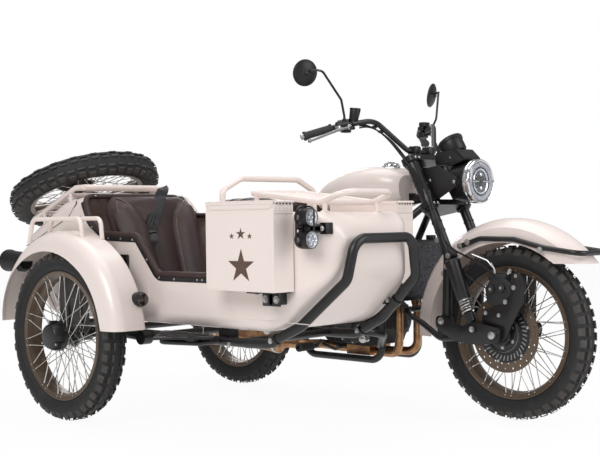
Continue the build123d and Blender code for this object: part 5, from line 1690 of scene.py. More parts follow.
@dataclass
class Saddle:
    """Long saddle for two, stepped up for the passenger."""

    outline: tuple[tuple[float, float, float, float], ...] = (     # X, half width, underside, top
        (-990, 66, 834, 882), (-1020, 90, 830, 903), (-1080, 108, 826, 886), (-1180, 124, 822, 864),
        (-1300, 124, 820, 861), (-1365, 120, 822, 876), (-1430, 117, 824, 892),
        (-1530, 111, 828, 890), (-1640, 98, 834, 886), (-1684, 60, 848, 868))

    def at(self, along: float) -> tuple[float, float, float, float]:
        """Outline at a share of the saddle's length."""
        place = along * (len(self.outline) - 1)
        low = min(int(place), len(self.outline) - 2)
        share = place - low
        share = share * share * (3 - 2 * share)
        return tuple(a + (b - a) * share for a, b in zip(self.outline[low], self.outline[low + 1]))

    def build(self) -> None:
        """Model the saddle, its cross welts and its stitching."""
        def top(across: float, along: float) -> Vector:
            """Point of the saddle's top."""
            x, half, low, high = self.at(along)
            side = 2 * across - 1
            middle = (low + high) / 2
            ends = swell(2 * along - 1, 12)
            return Vector((x, side * half, middle + (high - middle) * swell(side, 3.2) * ends))

        def under(across: float, along: float) -> Vector:
            """Point of the saddle's underside."""
            x, half, low, high = self.at(along)
            side = 2 * across - 1
            middle = (low + high) / 2
            return Vector((x, side * half, middle - (middle - low) * swell(side, 7)
                * swell(2 * along - 1, 12)))

        pad = Pad("saddle_pad", 0.85, 5.0, 7.0)
        pad.finish(pad.closed(top, under, 30, 90), "saddle")
        welt = Shape("saddle_welts", Body.CHASSIS, Look.LEATHER)
        sewn = Shape("saddle_stitching", Body.CHASSIS, Look.THREAD)
        for step in range(7):
            along = 0.2 + step * 0.1
            row = [top(0.08 + 0.84 * n / 24, along) + Vector((0, 0, 4.4)) for n in range(25)]
            welt.tube(row, 2.4, sides=8)
            for offset in (-5, 5):
                stitches(sewn, [point + Vector((offset, 0, 0.6)) for point in row[1:-1]], UP)
        for side in (0.04, 0.96):
            row = [top(side, 0.04 + 0.92 * n / 40) + Vector((0, (side - 0.5) * 8, 2))
                for n in range(41)]
            stitches(sewn, row, (0, side - 0.5, 0.4))
        welt.settle()
        sewn.settle()
        base = Shape("saddle_base", Body.CHASSIS, Look.PLASTIC)
        base.plate([(-1010, -60, 828), (-1070, -96, 828), (-1300, -112, 828), (-1560, -94, 828),
            (-1670, -60, 828), (-1670, 60, 828), (-1560, 94, 828), (-1300, 112, 828),
            (-1070, 96, 828), (-1010, 60, 828)], (0, 0, 8), 30, 1.5)
        base.settle()


@dataclass
class CockpitEdge:
    """Leather roll round the cockpit, on a dark strip with screws.

    Attributes:
        wall: Y of the step-in side's wall.
        deck: Height of the deck's edge.
    """

    wall: float = -1004.5
    deck: float = 812.0

    def build(self) -> None:
        """Model the roll, the strip, the screws and the stitching."""
        low = ((-640, 588), (-945, 588), (-1075, 735), (-1290, 742), (-1385, 800))
        step_in = [(x, self.wall, z) for x, z in low]
        path = [(-640, -500, self.deck), (-640, self.wall, self.deck), *step_in,
            (-1430, self.wall, 896), (-1430, -500, 896), (-1310, -500, self.deck)]
        roll = Shape("cockpit_roll", Body.CHASSIS, Look.LEATHER)
        roll.tube(path, 12.4, 42, sides=20, closed=True)
        edge = Pad("cockpit_roll", 0.95, 1.5, 4.5)
        edge.finish(roll, "cockpit_rim")
        strip = Shape("cockpit_strip", Body.CHASSIS, Look.PLASTIC)
        face = -1006
        inner = rounded([(-640, face, 640), (-640, face, 588), (-945, face, 588),
            (-1075, face, 735), (-1290, face, 742), (-1385, face, 800), (-1424, face, 880)], 42)
        rows = []
        for number, point in enumerate(inner):
            way = (inner[min(number + 1, len(inner) - 1)] - inner[max(number - 1, 0)]).normalized()
            out = Vector((way.z, 0, -way.x))
            if out.z > 0 or (number < 4 and out.x < 0):
                out = -out
            rows.append([strip.mesh.verts.new(point + out * a + Vector((0, b, 0))) for a,
                b in ((6, 0.5), (27, 0.5), (28, -0.5), (27, -2.6), (6, -2.6))])
        strip.skin(rows)
        strip.settle()
        screws = Shape("cockpit_screws", Body.CHASSIS, Look.STEEL)
        for x, z in ((-690, 571), (-718, 571), (-851, 570), (-1104, 718), (-1180, 722),
                (-1262, 724), (-940, 574), (-1014, 642), (-1372, 770)):
            screws.screw((x, face - 2.4, z), RIGHT, 4.6)
        screws.settle()
        sewn = Shape("cockpit_stitching", Body.CHASSIS, Look.THREAD)
        around = rounded(path, 42, True)
        stitches(sewn, [point + Vector((0, 13.2, 0)) for point in around if point.y < -990
            and point.z < 800], LEFT)
        sewn.settle()


# ------------------------------------------------------------------ boxes and lamps on the sidecar
def star(shape: Shape, centre: Point, radius: float, stretch: float, thick: float = 0.5) -> None:
    """Add a flat five-pointed star that faces the step-in side.

    Args:
        shape: The piece that gathers it.
        centre: Its middle.
        radius: Radius of its points.
        stretch: How much wider than high it is drawn.
        thick: Thickness of the paint.
    """
    middle = Vector(centre)
    outline = []
    for number in range(10):
        angle = math.radians(90 + 36 * number)
        away = radius if number % 2 == 0 else radius * 0.382
        outline.append(middle + Vector((math.cos(angle) * away * stretch, 0,
            math.sin(angle) * away)))
    core = shape.mesh.verts.new(middle + Vector((0, -thick, 0)))
    top = [shape.mesh.verts.new(point + Vector((0, -thick, 0))) for point in outline]
    foot = [shape.mesh.verts.new(point) for point in outline]
    for number in range(10):
        shape.mesh.faces.new((core, top[number - 1], top[number]))
        shape.mesh.faces.new((top[number - 1], foot[number - 1], foot[number], top[number]))
    shape.mesh.faces.new(foot)


@dataclass
class SideBox:
    """Fittings of a box on the sidecar's side.

    Attributes:
        name: Prefix of its pieces.
        lid: Body of its lid.
        near: Y of its outward face.
        far: Y of the face towards the tub.
        stars: Whether its face carries the stars.
    """

    name: str
    lid: Body
    near: float
    far: float
    stars: bool

    rear: float = -559.0
    front: float = -219.0
    top: float = 854.0
    foot: float = 545.0

    def build(self) -> None:
        """Model the seams, the hinge, the lid's lip, the latch and the stars."""
        out = -1 if self.near < self.far else 1
        low, high = sorted((self.near, self.far))
        lip = Shape(self.name + "_lid_lip", self.lid, Look.CREAM)
        face = self.near + out * 1.6
        path = [(self.rear + 4, face, self.top - 1), (self.rear + 4, face, self.top - 20),
            (self.rear + 24, face, self.top - 28), (self.front - 26, face, self.top - 28),
            (self.front - 6, face, self.top - 20), (self.front - 6, face, self.top - 1)]
        lip.tube(path, 1.5, 10, sides=8)
        lip.tube([(self.rear - 1, self.near + out * 1.2, self.top - 0.5),
            (self.front, self.near + out * 1.2, self.top - 0.5)], 2.2, sides=8)
        lip.tube([(self.rear - 1.4, low, self.top - 0.5), (self.rear - 1.4, high, self.top - 0.5)],
            2.2, sides=8)
        for inset in (34, 60):
            lip.tube([(self.rear + inset, low + inset * 0.5, self.top + 0.1),
                (self.front - inset, low + inset * 0.5, self.top + 0.1),
                (self.front - inset, high - inset * 0.5, self.top + 0.1),
                (self.rear + inset, high - inset * 0.5, self.top + 0.1)], 1.1, 9, sides=8,
                closed=True)
        lip.settle()
        hinge = Shape(self.name + "_hinge", Body.CHASSIS, Look.CREAM)
        x = self.front + 0.2
        count, span = 11, (high - low - 8)
        for number in range(count):
            start = low + 4 + span * number / count
            hinge.rod((self.front + 4, start + 0.7, self.top - 4),
                (self.front + 4, start + span / count - 0.7, self.top - 4), 4.2, sides=14,
                bevel=0.5)
            if number % 2 == 0:
                hinge.block((x, start + 1, self.top - 20), (x + 1.6, start + span / count - 1,
                    self.top - 4), 0.5, 1)
        hinge.block((x, low + 3, self.top - 34), (x + 1.4, high - 3, self.top - 18), 0.5, 1)
        hinge.settle()
        # Near-black blocks in the gaps between the hinge's leaves are painted shade; a thin dark
        # line runs below the hinge plate.
        slots = Shape(self.name + "_hinge_slots", Body.CHASSIS, Look.DARK_AND_PAINTED_SHADE)
        for number in range(1, count, 2):
            start = low + 4 + span * number / count
            slots.block((x - 0.1, start + 1, self.top - 14),
                (x + 0.7, start + span / count - 1, self.top - 9), 0.2, 1)
        slots.block((x - 0.4, low + 3, self.top - 46), (x + 0.15, high - 3, self.top - 45), 0)
        slots.settle()
        rivets = Shape(self.name + "_rivets", Body.CHASSIS, Look.STEEL)
        for number in range(5):
            y = low + 12 + (high - low - 24) * number / 4
            rivets.ball((x + 1.4, y, self.top - 26), 2.4, (0.5, 1, 1), 6)
        for z in (self.foot + 30, self.foot + 150):
            rivets.ball((self.rear - 0.2, (low + high) / 2, z), 5, (0.5, 1, 1), 8)
        rivets.settle()
        seams = Shape(self.name + "_seams", Body.CHASSIS, Look.CREAM)
        for edge in (self.rear + 1, self.front - 1):
            seams.tube([(edge, self.near + out * 0.1, self.foot + 1),
                (edge, self.near + out * 0.1, self.top - 34)], 1.6, sides=8)
        seams.tube([(self.rear + 1, self.near + out * 0.1, self.foot + 1),
            (self.front - 1, self.near + out * 0.1, self.foot + 1),
            (self.front - 1, self.far, self.foot + 1)], 1.6, 2, sides=8)
        seams.settle()
        latch = Shape(self.name + "_latch", Body.CHASSIS, Look.CHROME)
        middle = (low + high) / 2
        latch.block((self.rear - 7, middle - 16, self.top - 84),
            (self.rear, middle + 16, self.top - 42), 2)
        latch.tube([(self.rear - 6, middle - 11, self.top - 58),
            (self.rear - 9, middle - 11, self.top - 42), (self.rear - 9, middle + 11,
            self.top - 42), (self.rear - 6, middle + 11, self.top - 58)], 1.8, 3, sides=8)
        latch.rod((self.rear - 10, middle, self.top - 70), (self.rear - 6, middle, self.top - 70),
            6, bevel=1)
        latch.settle()
        if self.stars:
            paint = Shape(self.name + "_stars", Body.CHASSIS, Look.STAR)
            for x, z, radius, stretch in ((-380, 630, 61, 1.12), (-380, 742, 21, 1.14),
                    (-426, 734, 11.4, 1.14), (-336, 734, 11.4, 1.14)):
                star(paint, (x, self.near - 0.05, z), radius, stretch)
            paint.settle(crease=10.0)


@dataclass
class BoxBracket:
    """Black bracket with two bolts that carries the outer box."""

    def build(self) -> None:
        """Model the bracket and its bolts."""
        metal = Shape("box_bracket", Body.CHASSIS, Look.BLACK)
        metal.block((-306, -1072, 497), (-224, -1064, 545), 1.5)
        metal.block((-306, -1072, 540), (-224, -1012, 545), 1.5)
        metal.block((-276, -1072, 499), (-254, -1004, 541), 3)
        metal.block((-390, -1068, 536), (-340, -1012, 545), 2)
        metal.settle()
        bolts = Shape("box_bracket_bolts", Body.CHASSIS, Look.STEEL)
        for x in (-292, -238):
            bolts.bolt((x, -1072, 520), RIGHT, 9, 7)
        bolts.bolt((-356, -1052, 536), DOWN, 7, 5)
        bolts.settle()


@dataclass
class SpotLamps:
    """Two round work lamps one above the other, in a wire guard.

    Attributes:
        middle: Y of both lamps.
        heights: Height of each lamp.
        face: X of their glasses.
    """

    middle: float = -1022.0
    heights: tuple[float, float] = (796.0, 721.0)
    face: float = -116.0

    def build(self) -> None:
        """Model the lamps, the guard, the arm and the diodes."""
        cans = Shape("spot_lamp_cans", Body.CHASSIS, Look.PLASTIC)
        rings = Shape("spot_lamp_rings", Body.CHASSIS, Look.ALLOY)
        cups = Shape("spot_lamp_cups", Body.CHASSIS, Look.REFLECTOR)
        diodes = Shape("spot_lamp_diodes", Body.CHASSIS, Look.DIODE)
        glass = Shape("spot_lamp_glasses", Body.CHASSIS, Look.LENS)
        for z in self.heights:
            centre = Vector((self.face, self.middle, z))
            cans.turned([(-62, 0.5), (-62, 22), (-56, 28), (-52, 28), (-52, 25), (-48, 25),
                (-48, 30), (-44, 30), (-44, 26), (-40, 26), (-40, 31), (-4, 31), (0, 30.4), (0, 27),
                (-10, 25.5), (-10, 0.5)], centre, AHEAD, steps=40)
            rings.turned([(-1, 26.6), (-1, 29.6), (1.4, 29), (1.4, 27)], centre, AHEAD, steps=40)
            cups.turned([(-9, 0.5), (-9, 8), (-4, 24), (-1, 26.4), (-5, 26), (-9.8, 20),
                (-9.8, 0.5)], centre, AHEAD, steps=36)
            for number in range(7):
                angle = FULL_TURN * number / 6
                away = 0 if number == 6 else 15
                spot = centre + Vector((-5, math.cos(angle) * away, math.sin(angle) * away))
                diodes.ball(spot, 4.6, (0.6, 1, 1), 6)
                cups.turned([(-4, 3.4), (2.4, 7.2), (3, 7.2), (-3.4, 2.6)], spot, AHEAD, steps=16)
            glass.turned([(-1.6, 0.5), (-1.6, 26.6), (-0.4, 26.6), (0.4, 0.5)], centre, AHEAD,
                steps=32)
        cans.block((-172, self.middle - 9, 722), (-152, self.middle + 9, 795), 3)
        cans.block((-160, self.middle - 4, 744), (-126, -925, 772), 4)
        cans.block((-142, -958, 738), (-112, -922, 778), 3)
        cans.settle("spot_lamps")
        rings.settle()
        cups.settle()
        diodes.settle()
        glass.settle()
        guard = Shape("spot_lamp_guard", Body.CHASSIS, Look.BLACK)
        loop = [(-150, self.middle - 42, 700), (-150, self.middle - 42, 832),
            (-150, self.middle + 52, 832), (-150, self.middle + 52, 760)]
        guard.tube([(-150, self.middle - 6, 700), *loop], 3.6, 34, sides=10)
        guard.tube([(-106, self.middle - 2, 748), (-104, self.middle - 2, 832),
            (-176, self.middle - 2, 832), (-180, self.middle - 2, 760)], 3.2, 26, sides=10)
        guard.tube([(-150, self.middle - 42, 758), (-150, self.middle + 52, 758)], 3, sides=8)
        guard.block((-146, self.middle - 2, 748), (-126, self.middle + 60, 768), 3)
        guard.settle()
        bolts = Shape("spot_lamp_bolts", Body.CHASSIS, Look.STEEL)
        bolts.bolt((-120, -970, 758), AHEAD, 6, 5)
        for z in self.heights:
            bolts.bolt((-150, self.middle - 32, z), RIGHT, 5.5, 4)
        bolts.settle()


@dataclass
class TubTrim:
    """Pressed lines, trunk lock, seam rubber and screws of the sidecar body."""

    def build(self) -> None:
        """Model the trim."""
        lines = Shape("tub_pressings", Body.CHASSIS, Look.CREAM)
        face = -1006
        lines.tube([(-540, face, 545), (-540, face, 470), (-500, face, 440), (-150, face, 436)],
            1.3, 26, sides=8)
        lines.tube([(-690, face, 400), (-690, face, 352)], 1.2, sides=8)
        lines.tube([(-1010, face, 560), (-1010, face, 470), (-1290, face, 470), (-1290, face, 640),
            (-1120, face, 676)], 1.3, 40, sides=8)
        lines.tube([(-1500, face, 850), (-1560, face, 800), (-1700, face, 742)], 1.2, 30, sides=8)
        lines.settle()
        lock = Shape("trunk_lock", Body.CHASSIS, Look.CHROME)
        lock.turned([(-4, 0.5), (-4, 17), (3, 17), (6, 14), (6, 7), (4, 6), (4, 0.5)],
            (-1450, -1006, 800), RIGHT, steps=32)
        lock.block((-1451.5, -1011.4, 794), (-1448.5, -1010, 806), 0.5, 1)
        lock.settle()
        rubber = Shape("trunk_seam_rubber", Body.CHASSIS, Look.PLASTIC)
        seam = [(-1485, face + 1, 880), (-1485, face + 1, 868), (-1544, face + 1, 811),
            (-1866, face + 1, 689)]
        rubber.tube(seam, 2.1, 24, sides=8)
        rubber.settle()
        deck = Shape("deck_screws", Body.CHASSIS, Look.STEEL)
        for x, y in ((-668, -960), (-668, -500), (-1412, -960), (-1412, -520)):
            deck.screw((x, y, 814.5 if x > -1000 else 898), UP, 5)
        deck.settle()
        feet = Shape("nose_rack_feet", Body.CHASSIS, Look.CREAM)
        for x in (-200, -540):
            for y in (-868, -590):
                feet.turned([(-1, 9), (-1, 16), (2, 16), (4, 13), (5, 9.4)], (x, y, 814.6), UP,
                    steps=24)
        feet.settle()


@dataclass
class MudguardTrim:
    """Flange screws, lamps and lenses of the sidecar mudguard, and the machine's rear lamps."""

    def build(self) -> None:
        """Model the trim."""
        screws = Shape("side_mudguard_screws", Body.CHASSIS, Look.STEEL)
        for x in (-1478, -1442):
            screws.screw((x, -1042, 725.4), UP, 5.5)
        screws.settle()
        lamps = Shape("marker_lamp_bodies", Body.CHASSIS, Look.PLASTIC)
        lamps.turned([(0, 0.5), (0, 30), (14, 41), (116, 43), (124, 47), (136, 47), (136, 0.5)],
            (-1644, -1148, 626), (-1, 0, 0.043), steps=40)
        lamps.turned([(0, 0.5), (0, 20), (14, 27), (46, 28), (50, 26), (50, 0.5)],
            (-984, -1094, 495), AHEAD, steps=32)
        lamps.turned([(0, 0.5), (0, 26), (8, 33), (34, 35), (44, 35), (44, 0.5)], (-1844, 0, 615),
            (-1, 0, 0.37), steps=40)
        for side in SIDES:
            lamps.rod((-1800, side * 10, 610), (-1800, side * 92, 600), 7)
            lamps.turned([(0, 0.5), (0, 12), (6, 18), (26, 19), (26, 0.5)],
                (-1792, side * 100, 600), BACK, steps=28)
        lamps.settle("lamps")
        red = Shape("red_lenses", Body.CHASSIS, Look.RED)
        red.turned([(0, 0.5), (0, 44), (8, 42), (14, 33), (17, 16), (17.6, 0.5)],
            (-1779.6, -1148, 632), (-1, 0, 0.043), steps=40)
        red.turned([(0, 0.5), (0, 32), (7, 31), (12, 24), (14, 0.5)], (-1885, 0, 631),
            (-1, 0, 0.37), steps=40)
        red.settle()
        lenses = Shape("marker_lenses", Body.CHASSIS, Look.SMOKE)
        lenses.turned([(0, 0.5), (0, 25), (7, 23), (12, 14), (14, 0.5)], (-934, -1094, 495), AHEAD,
            steps=32)
        for side in SIDES:
            lenses.turned([(0, 0.5), (0, 17), (6, 15), (9, 8), (9.4, 0.5)],
                (-1818, side * 100, 600), BACK, steps=28)
        lenses.settle()


# ------------------------------------------------------------------ the machine
@dataclass
class PowerUnit:
    """Covers, fins, bolts and hoses of the engine, the radiator and the pipes' clamps."""

    def build(self) -> None:
        """Model the parts round the engine."""
        covers = Shape("engine_covers", Body.CHASSIS, Look.CAST)
        bolts = Shape("engine_bolts", Body.CHASSIS, Look.STEEL)
        for side in SIDES:
            for x, z, away, radius, count in ((-725, 350, 160, 88, 9), (-880, 350, 132, 64, 7)):
                covers.turned([(-12, radius - 8), (-2, radius), (2, radius - 2), (6, radius - 12),
                    (8, radius - 26), (5, radius - 34), (0, radius - 36), (-12, radius - 36)],
                    (x, side * (away - 6), z), (0, side, 0), steps=56)
                covers.turned([(0, 0.5), (0, 26), (7, 24), (9, 18), (9, 0.5)],
                    (x, side * (away + 0), z), (0, side, 0), steps=40)
                for number in range(count):
                    angle = FULL_TURN * number / count
                    spot = (x + (radius - 4) * math.cos(angle), side * (away - 4),
                        z + (radius - 4) * math.sin(angle))
                    covers.rod((spot[0], side * (away - 22), spot[2]), spot, 7, sides=14, bevel=1)
                    bolts.screw(spot, (0, side, 0), 4.6)
            for level in range(10):
                height = 500 + level * 18
                covers.block((-792 + level, side * 96 - 8, height),
                    (-626 - level, side * 96 + 8, height + 5), 1.5, 1)
            covers.tube([(-660, side * 40, 690), (-640, side * 44, 716), (-600, side * 40, 706)],
                15, 22, sides=16)
            for x in (-690, -750):
                bolts.bolt((x, side * 60, 702), UP, 7, 8)
            bolts.rod((-700, side * 70, 700), (-700, side * 76, 742), 7, bevel=1)
        covers.block((-790, -70, 690), (-636, 70, 716), 10, 3)
        covers.settle()
        bolts.settle()
        leads = Shape("engine_leads", Body.CHASSIS, Look.PLASTIC)
        for side in SIDES:
            leads.tube([(-700, side * 76, 740), (-706, side * 84, 770), (-760, side * 70, 800)],
                4.2, 20, sides=8)
            leads.tube([(-510, side * 150, 662), (-560, side * 140, 680), (-600, side * 108, 640),
                (-640, side * 96, 610)], 14, 40, sides=16)
            leads.tube([(-510, side * 150, 478), (-560, side * 140, 470), (-630, side * 110, 440)],
                13, 30, sides=16)
        leads.settle()
        core = Shape("radiator_core", Body.CHASSIS, Look.CORE)
        core.block((-486, -164, 462), (-477.6, 164, 682), 0.5, 1)
        core.block((-524, -164, 462), (-520.4, 164, 682), 0.5, 1)
        core.settle()
        frame = Shape("radiator_frame", Body.CHASSIS, Look.PLASTIC)
        for z in ((447, 463), (681, 697)):
            frame.block((-526, -190, z[0]), (-475, 190, z[1]), 3)
        for side in SIDES:
            frame.block((-526, side * 178 - 13, 450), (-474, side * 178 + 13, 694), 5)
            frame.turned([(0, 12), (0, 18), (16, 18), (16, 12)], (-520, side * 150, 662), BACK,
                steps=24)
        frame.rod((-500, 120, 696), (-500, 120, 716), 21, bevel=3, sides=28)
        frame.settle()
        clamps = Shape("pipe_clamps", Body.CHASSIS, Look.STEEL)
        for side in SIDES:
            clamps.turned([(-5, 18.2), (-5, 24), (5, 24), (5, 18.2)], (-600, side * 62, 501.5),
                (65, 0, -9), steps=32)
            clamps.rod((-627, side * 62, 505), (-620, side * 62, 504), 32, sides=28, bevel=1)
            for lean in SIDES:
                clamps.bolt((-620, side * 62, 504 + lean * 25), (1, 0, -0.14), 5.5, 6)
        for x in (-1130, -1500):
            share = (x + 1120) / -400
            clamps.turned([(-7, 44), (-7, 46.4), (7, 46.4), (7, 44)],
                (x, -182 - 8 * share, 239 + 29 * share), (-400, -8, 29), steps=48)
        clamps.settle()


@dataclass
class MachineTrim:
    """Filler cap, footpegs and the rear spring legs."""

    def build(self) -> None:
        """Model the parts."""
        cap = Shape("tank_filler", Body.CHASSIS, Look.CHROME)
        cap.turned([(-9, 0.5), (-9, 39), (-2, 41), (2, 39), (4, 36), (13, 36), (18, 33), (21, 24),
            (22.5, 0.5)], TANK_FILLER, UP, steps=56)
        notch = cap.block((-616 + 33, -4, 1008), (-616 + 39, 4, 1016), 1.5)
        cap.copies(notch, spin_about(TANK_FILLER, UP, 12))
        cap.block((-620, -22, 1024), (-612, 22, 1030), 2)
        cap.settle("tank_cap")
        pads = Shape("footpeg_rubbers", Body.CHASSIS, Look.GRIP)
        pegs = Shape("footpeg_arms", Body.CHASSIS, Look.BLACK)
        for side in SIDES:
            pads.turned([(0, 8), (0, 17), (6, 18), (10, 15), (74, 15), (80, 19), (88, 18), (90, 8)],
                (-930, side * 172, 238), (0, side, 0), steps=20)
            for number in range(7):
                pads.turned([(14 + number * 9, 14), (15 + number * 9, 17.4),
                    (19 + number * 9, 17.4), (20 + number * 9, 14)], (-930, side * 172, 238),
                    (0, side, 0), steps=20)
            pegs.tube([(-930, side * 176, 238), (-930, side * 150, 238), (-915, side * 128, 262)],
                8, 12)
            pegs.tube([(-760, side * 168, 250), (-800, side * 164, 232), (-880, side * 158, 250)],
                7, 20)
            pegs.rod((-760, side * 160, 250), (-760, side * 196, 250), 10, bevel=2)
        pads.settle("footpegs")
        pegs.settle()
        dark = Shape("rear_spring_legs", Body.CHASSIS, Look.BLACK)
        bright = Shape("rear_leg_bolts", Body.CHASSIS, Look.STEEL)
        for side in SIDES:
            SpringLeg((-1400, side * 136, 770), (-1520, side * 136, 392), 28, 24, 0.5, 7).add(dark,
                bright)
            for x, z, y in ((-1572, 340, 118), (-985, 372, 120)):
                bright.bolt((x, side * y, z), (0, side, 0), 13, 9)
        bright.bolt((-1150, -1058, 640), RIGHT, 9, 7)
        bright.bolt((-1262, -1058, 389), RIGHT, 9, 7)
        dark.settle("rear_shocks")
        bright.settle()


@dataclass
class SidecarFrameTrim:
    """Tube clamps, bolts and end caps of the sidecar's frame and its bumper."""

    def build(self) -> None:
        """Model the fittings."""
        clamp = Shape("bumper_clamps", Body.CHASSIS, Look.BLACK)
        bolts = Shape("sidecar_frame_bolts", Body.CHASSIS, Look.STEEL)
        leg = [Vector((-262, -492, 418)), Vector((-82, -516, 580))]
        spot, way = leg[0].lerp(leg[1], 0.42), (leg[1] - leg[0]).normalized()
        clamp.turned([(-11, 18.2), (-11, 23), (11, 23), (11, 18.2)], spot, way, steps=32)
        clamp.block(spot + Vector((-52, -14, -6)), spot + Vector((-8, 14, 6)), 3)
        clamp.rod(spot + Vector((-50, 0, -16)), spot + Vector((-50, 0, 16)), 12, bevel=2)
        bolts.bolt(spot + Vector((-50, 0, 16)), UP, 7, 6)
        bolts.bolt(spot + Vector((-30, -14, 0)), RIGHT, 6, 5)
        for low, high in (((-400, -955, 350), (-262, -930, 418)),
                ((-400, -490, 350), (-262, -492, 418))):
            spot, way = Vector(low).lerp(Vector(high), 0.2), Vector(high) - Vector(low)
            clamp.turned([(-14, 18.2), (-14, 22), (14, 22), (14, 18.2)], spot, way, steps=32)
            bolts.bolt(spot + Vector((0, -22, 0)), RIGHT, 7, 6)
        for x in (-560, -900, -1250, -1640):
            for y, out in ((-997, -1), (-470, 1)):
                bolts.bolt((x, y, 340), (0, out, 0), 7, 6)
        clamp.settle()
        bolts.settle()
        cap = Shape("strut_ball_ends", Body.CHASSIS, Look.STEEL)
        for x, y, z in ((-560, -262, 300), (-1120, -262, 300)):
            cap.ball((x, y, z), 17, rings=12)
            cap.turned([(0, 9), (0, 15), (12, 15), (12, 9)], (x, y + 14, z), LEFT, steps=24)
        cap.settle()
        plate = Shape("step_grip", Body.CHASSIS, Look.GRIP)
        for number in range(6):
            x = -640 - number * 38
            plate.block((x - 9, -1118 - (40 if 0 < number < 4 else 0), 374), (x + 9, -1030, 376.4),
                1.1, 2)
        plate.settle()
        hub = Shape("hub_cap_lugs", Body.SIDECAR_WHEEL, Look.BLACK)
        hub.turned([(0, 14), (0, 42), (6, 58), (10, 60), (34, 57), (58, 48), (62, 45), (63.4, 40),
            (63.4, 0.5), (60, 0.5), (6, 14)], (-1350, -1177, 340), RIGHT, steps=56)
        lug = hub.block((-1350 - 9, -1232, 340 + 46), (-1350 + 9, -1196, 340 + 62), 4, 2)
        hub.copies(lug, spin_about(SIDECAR_HUB, LEFT, 3))
        hub.settle("sidecar_hub_cap")
        studs = Shape("hub_cap_bolts", Body.SIDECAR_WHEEL, Look.STEEL)
        stud = studs.rod((-1350, -1231, 394), (-1350, -1238, 394), 5, sides=6, bevel=0.6)
        studs.copies(stud, spin_about(SIDECAR_HUB, LEFT, 3))
        studs.settle()


ASSEMBLIES = (Headlight(), Gauge(), Mirrors(), Bars(), FrontEnd(), SidecarSeat(), Saddle(),
    CockpitEdge(), SideBox("outer_box", Body.OUTER_LID, -1100.0, -1006.3, True),
    SideBox("inner_box", Body.INNER_LID, -358.0, -451.7, False), BoxBracket(), SpotLamps(),
    TubTrim(), MudguardTrim(), PowerUnit(), MachineTrim(), SidecarFrameTrim())


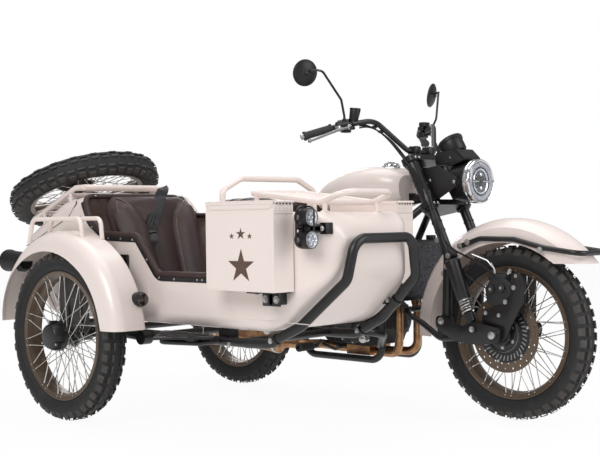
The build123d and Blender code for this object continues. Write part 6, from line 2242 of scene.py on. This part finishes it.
# ------------------------------------------------------------------ stage
@dataclass
class Stage:
    """Pale floor, soft studio lamps and the camera.

    Attributes:
        eye: The camera's place, in drawing millimetres.
        yaw: Its turn from looking along Y, in radians.
        pitch: Its tilt upwards, in radians.
        roll: Its turn about its own line of sight, in radians.
        lens: Focal length on a 36 mm sensor.
        lamps: Name, place in metres, size in metres and power in watts of each lamp.
    """

    eye: Point = (2459.95, -3736.152, 786.93)
    yaw: float = 0.77
    pitch: float = -0.007
    roll: float = -0.013
    lens: float = 67.755
    lamps: tuple[tuple[str, Point, float, float], ...] = (
        ("key", (1.6, -4.6, 3.6), 2.6, 150.0), ("fill", (4.6, 1.2, 2.6), 3.0, 90.0),
        ("top", (-0.4, 0.2, 4.4), 3.4, 80.0), ("back", (-4.2, 2.6, 2.6), 2.6, 70.0))

    def camera(self) -> None:
        """Place the camera."""
        ahead = Vector((-math.sin(self.yaw) * math.cos(self.pitch),
            math.cos(self.yaw) * math.cos(self.pitch), math.sin(self.pitch)))
        right = ahead.cross(Vector(UP)).normalized()
        up = right.cross(ahead)
        c, s = math.cos(self.roll), math.sin(self.roll)
        columns = (c * right + s * up, c * up - s * right, -ahead)
        turn = Matrix(columns).transposed().to_4x4()
        data = bpy.data.cameras.new("camera")
        data.sensor_width, data.lens = 36.0, self.lens
        data.clip_start, data.clip_end = 0.1, 60.0
        camera = bpy.data.objects.new("camera", data)
        place = (Vector(self.eye) + FRAME_SHIFT) * MILLIMETRE
        camera.matrix_world = Matrix.Translation(place) @ turn
        bpy.context.scene.collection.objects.link(camera)
        bpy.context.scene.camera = camera

    def lamp(self, name: str, place: Point, size: float, power: float,
            colour: Colour = (1, 1, 1)) -> None:
        """Add a soft square lamp aimed at the object, with its place in metres."""
        data = bpy.data.lights.new(name, "AREA")
        data.size, data.energy, data.color = size, power, colour
        lamp = bpy.data.objects.new(name, data)
        lamp.location = place
        lamp.rotation_euler = (Vector((0, 0, 0.55)) - Vector(place)).to_track_quat("-Z",
            "Y").to_euler()
        bpy.context.scene.collection.objects.link(lamp)

    def floor(self) -> None:
        """Lay a wide pale floor that keeps the object's shadow."""
        mesh = bmesh.new()
        bmesh.ops.create_grid(mesh, x_segments=1, y_segments=1, size=14.0)
        data = bpy.data.meshes.new("floor")
        mesh.to_mesh(data)
        mesh.free()
        plane = bpy.data.objects.new("floor", data)
        plane.location = (0, 0, -0.0005)
        bpy.context.scene.collection.objects.link(plane)
        paint = bpy.data.materials.new("floor")
        paint.use_nodes = True
        net = Net(paint.node_tree)
        matte = net.add("ShaderNodeBsdfDiffuse", None, {"Color": (0.86, 0.855, 0.85, 1.0)})
        glow = net.add("ShaderNodeEmission", None, {"Color": (1.0, 1.0, 1.0, 1.0), "Strength": 1.0})
        path = net.node("ShaderNodeLightPath")
        seen = Wire(net, path.outputs["Is Camera Ray"]).maths("MAXIMUM",
            Wire(net, path.outputs["Is Glossy Ray"]))
        both = net.add("ShaderNodeMixShader", None, {0: seen * 0.95, 1: matte, 2: glow})
        net.node("ShaderNodeOutputMaterial", None, {"Surface": both})
        data.materials.append(paint)

    def world(self) -> None:
        """Even pale surroundings, white where the camera sees them."""
        world = bpy.data.worlds.new("studio")
        bpy.context.scene.world = world
        world.use_nodes = True
        net = Net(world.node_tree)
        path = net.node("ShaderNodeLightPath")
        seen = Wire(net, path.outputs["Is Camera Ray"]).maths("MAXIMUM",
            Wire(net, path.outputs["Is Transmission Ray"]))
        room = net.add("ShaderNodeBackground", None, {"Color": (0.95, 0.97, 1.0, 1.0),
            "Strength": 0.42})
        white = net.add("ShaderNodeBackground", None, {"Color": (1.0, 1.0, 1.0, 1.0),
            "Strength": 1.0})
        both = net.add("ShaderNodeMixShader", None, {0: seen, 1: room, 2: white})
        net.node("ShaderNodeOutputWorld", None, {"Surface": both})

    def build(self) -> None:
        """Set the whole stage."""
        bpy.context.scene.view_settings.view_transform = "Standard"
        self.camera()
        self.world()
        self.floor()
        for name, place, size, power in self.lamps:
            self.lamp(name, place, size, power)


# ------------------------------------------------------------------ assembly
SLOT_FINISH = {"cream_paint": Look.CREAM, "black_paint": Look.BLACK, "bronze_paint": Look.BRONZE,
    "tyre": Look.TYRE, "leather": Look.LEATHER, "steel": Look.STEEL, "chrome": Look.CHROME,
    "copper_pipe": Look.COPPER, "engine_alloy": Look.CAST, "plastic": Look.PLASTIC,
    "rubber": Look.GRIP, "webbing": Look.BELT}


def dress_solids(frame: dict[str, object]) -> None:
    """Give every solid of the frame the finish of its slot.

    Args:
        frame: The loaded frame.
    """
    slots = {row["node"]: row["material_slot"] for row in frame["record"]["subparts"]}
    for node, solid in frame["nodes"].items():
        finish = SLOT_FINISH[slots[node]]
        for place in solid.material_slots:
            place.material = finish.material()


def main() -> None:
    """Build the stage, dress the frame and add every piece."""
    logging.basicConfig(level=logging.INFO, format="%(message)s")
    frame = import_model()
    Stage().build()
    dress_solids(frame)
    spare_axle = (-math.sin(SPARE_TILT), 0, math.cos(SPARE_TILT))
    wheels = (Wheel("front", Body.FRONT_WHEEL, FRONT_HUB),
        Wheel("rear", Body.REAR_WHEEL, REAR_HUB),
        Wheel("sidecar", Body.SIDECAR_WHEEL, SIDECAR_HUB),
        Wheel("spare", Body.TRUNK, SPARE_HUB, spare_axle))
    for assembly in (*wheels, *ASSEMBLIES):
        assembly.build()


if __name__ == "__main__":
    main()
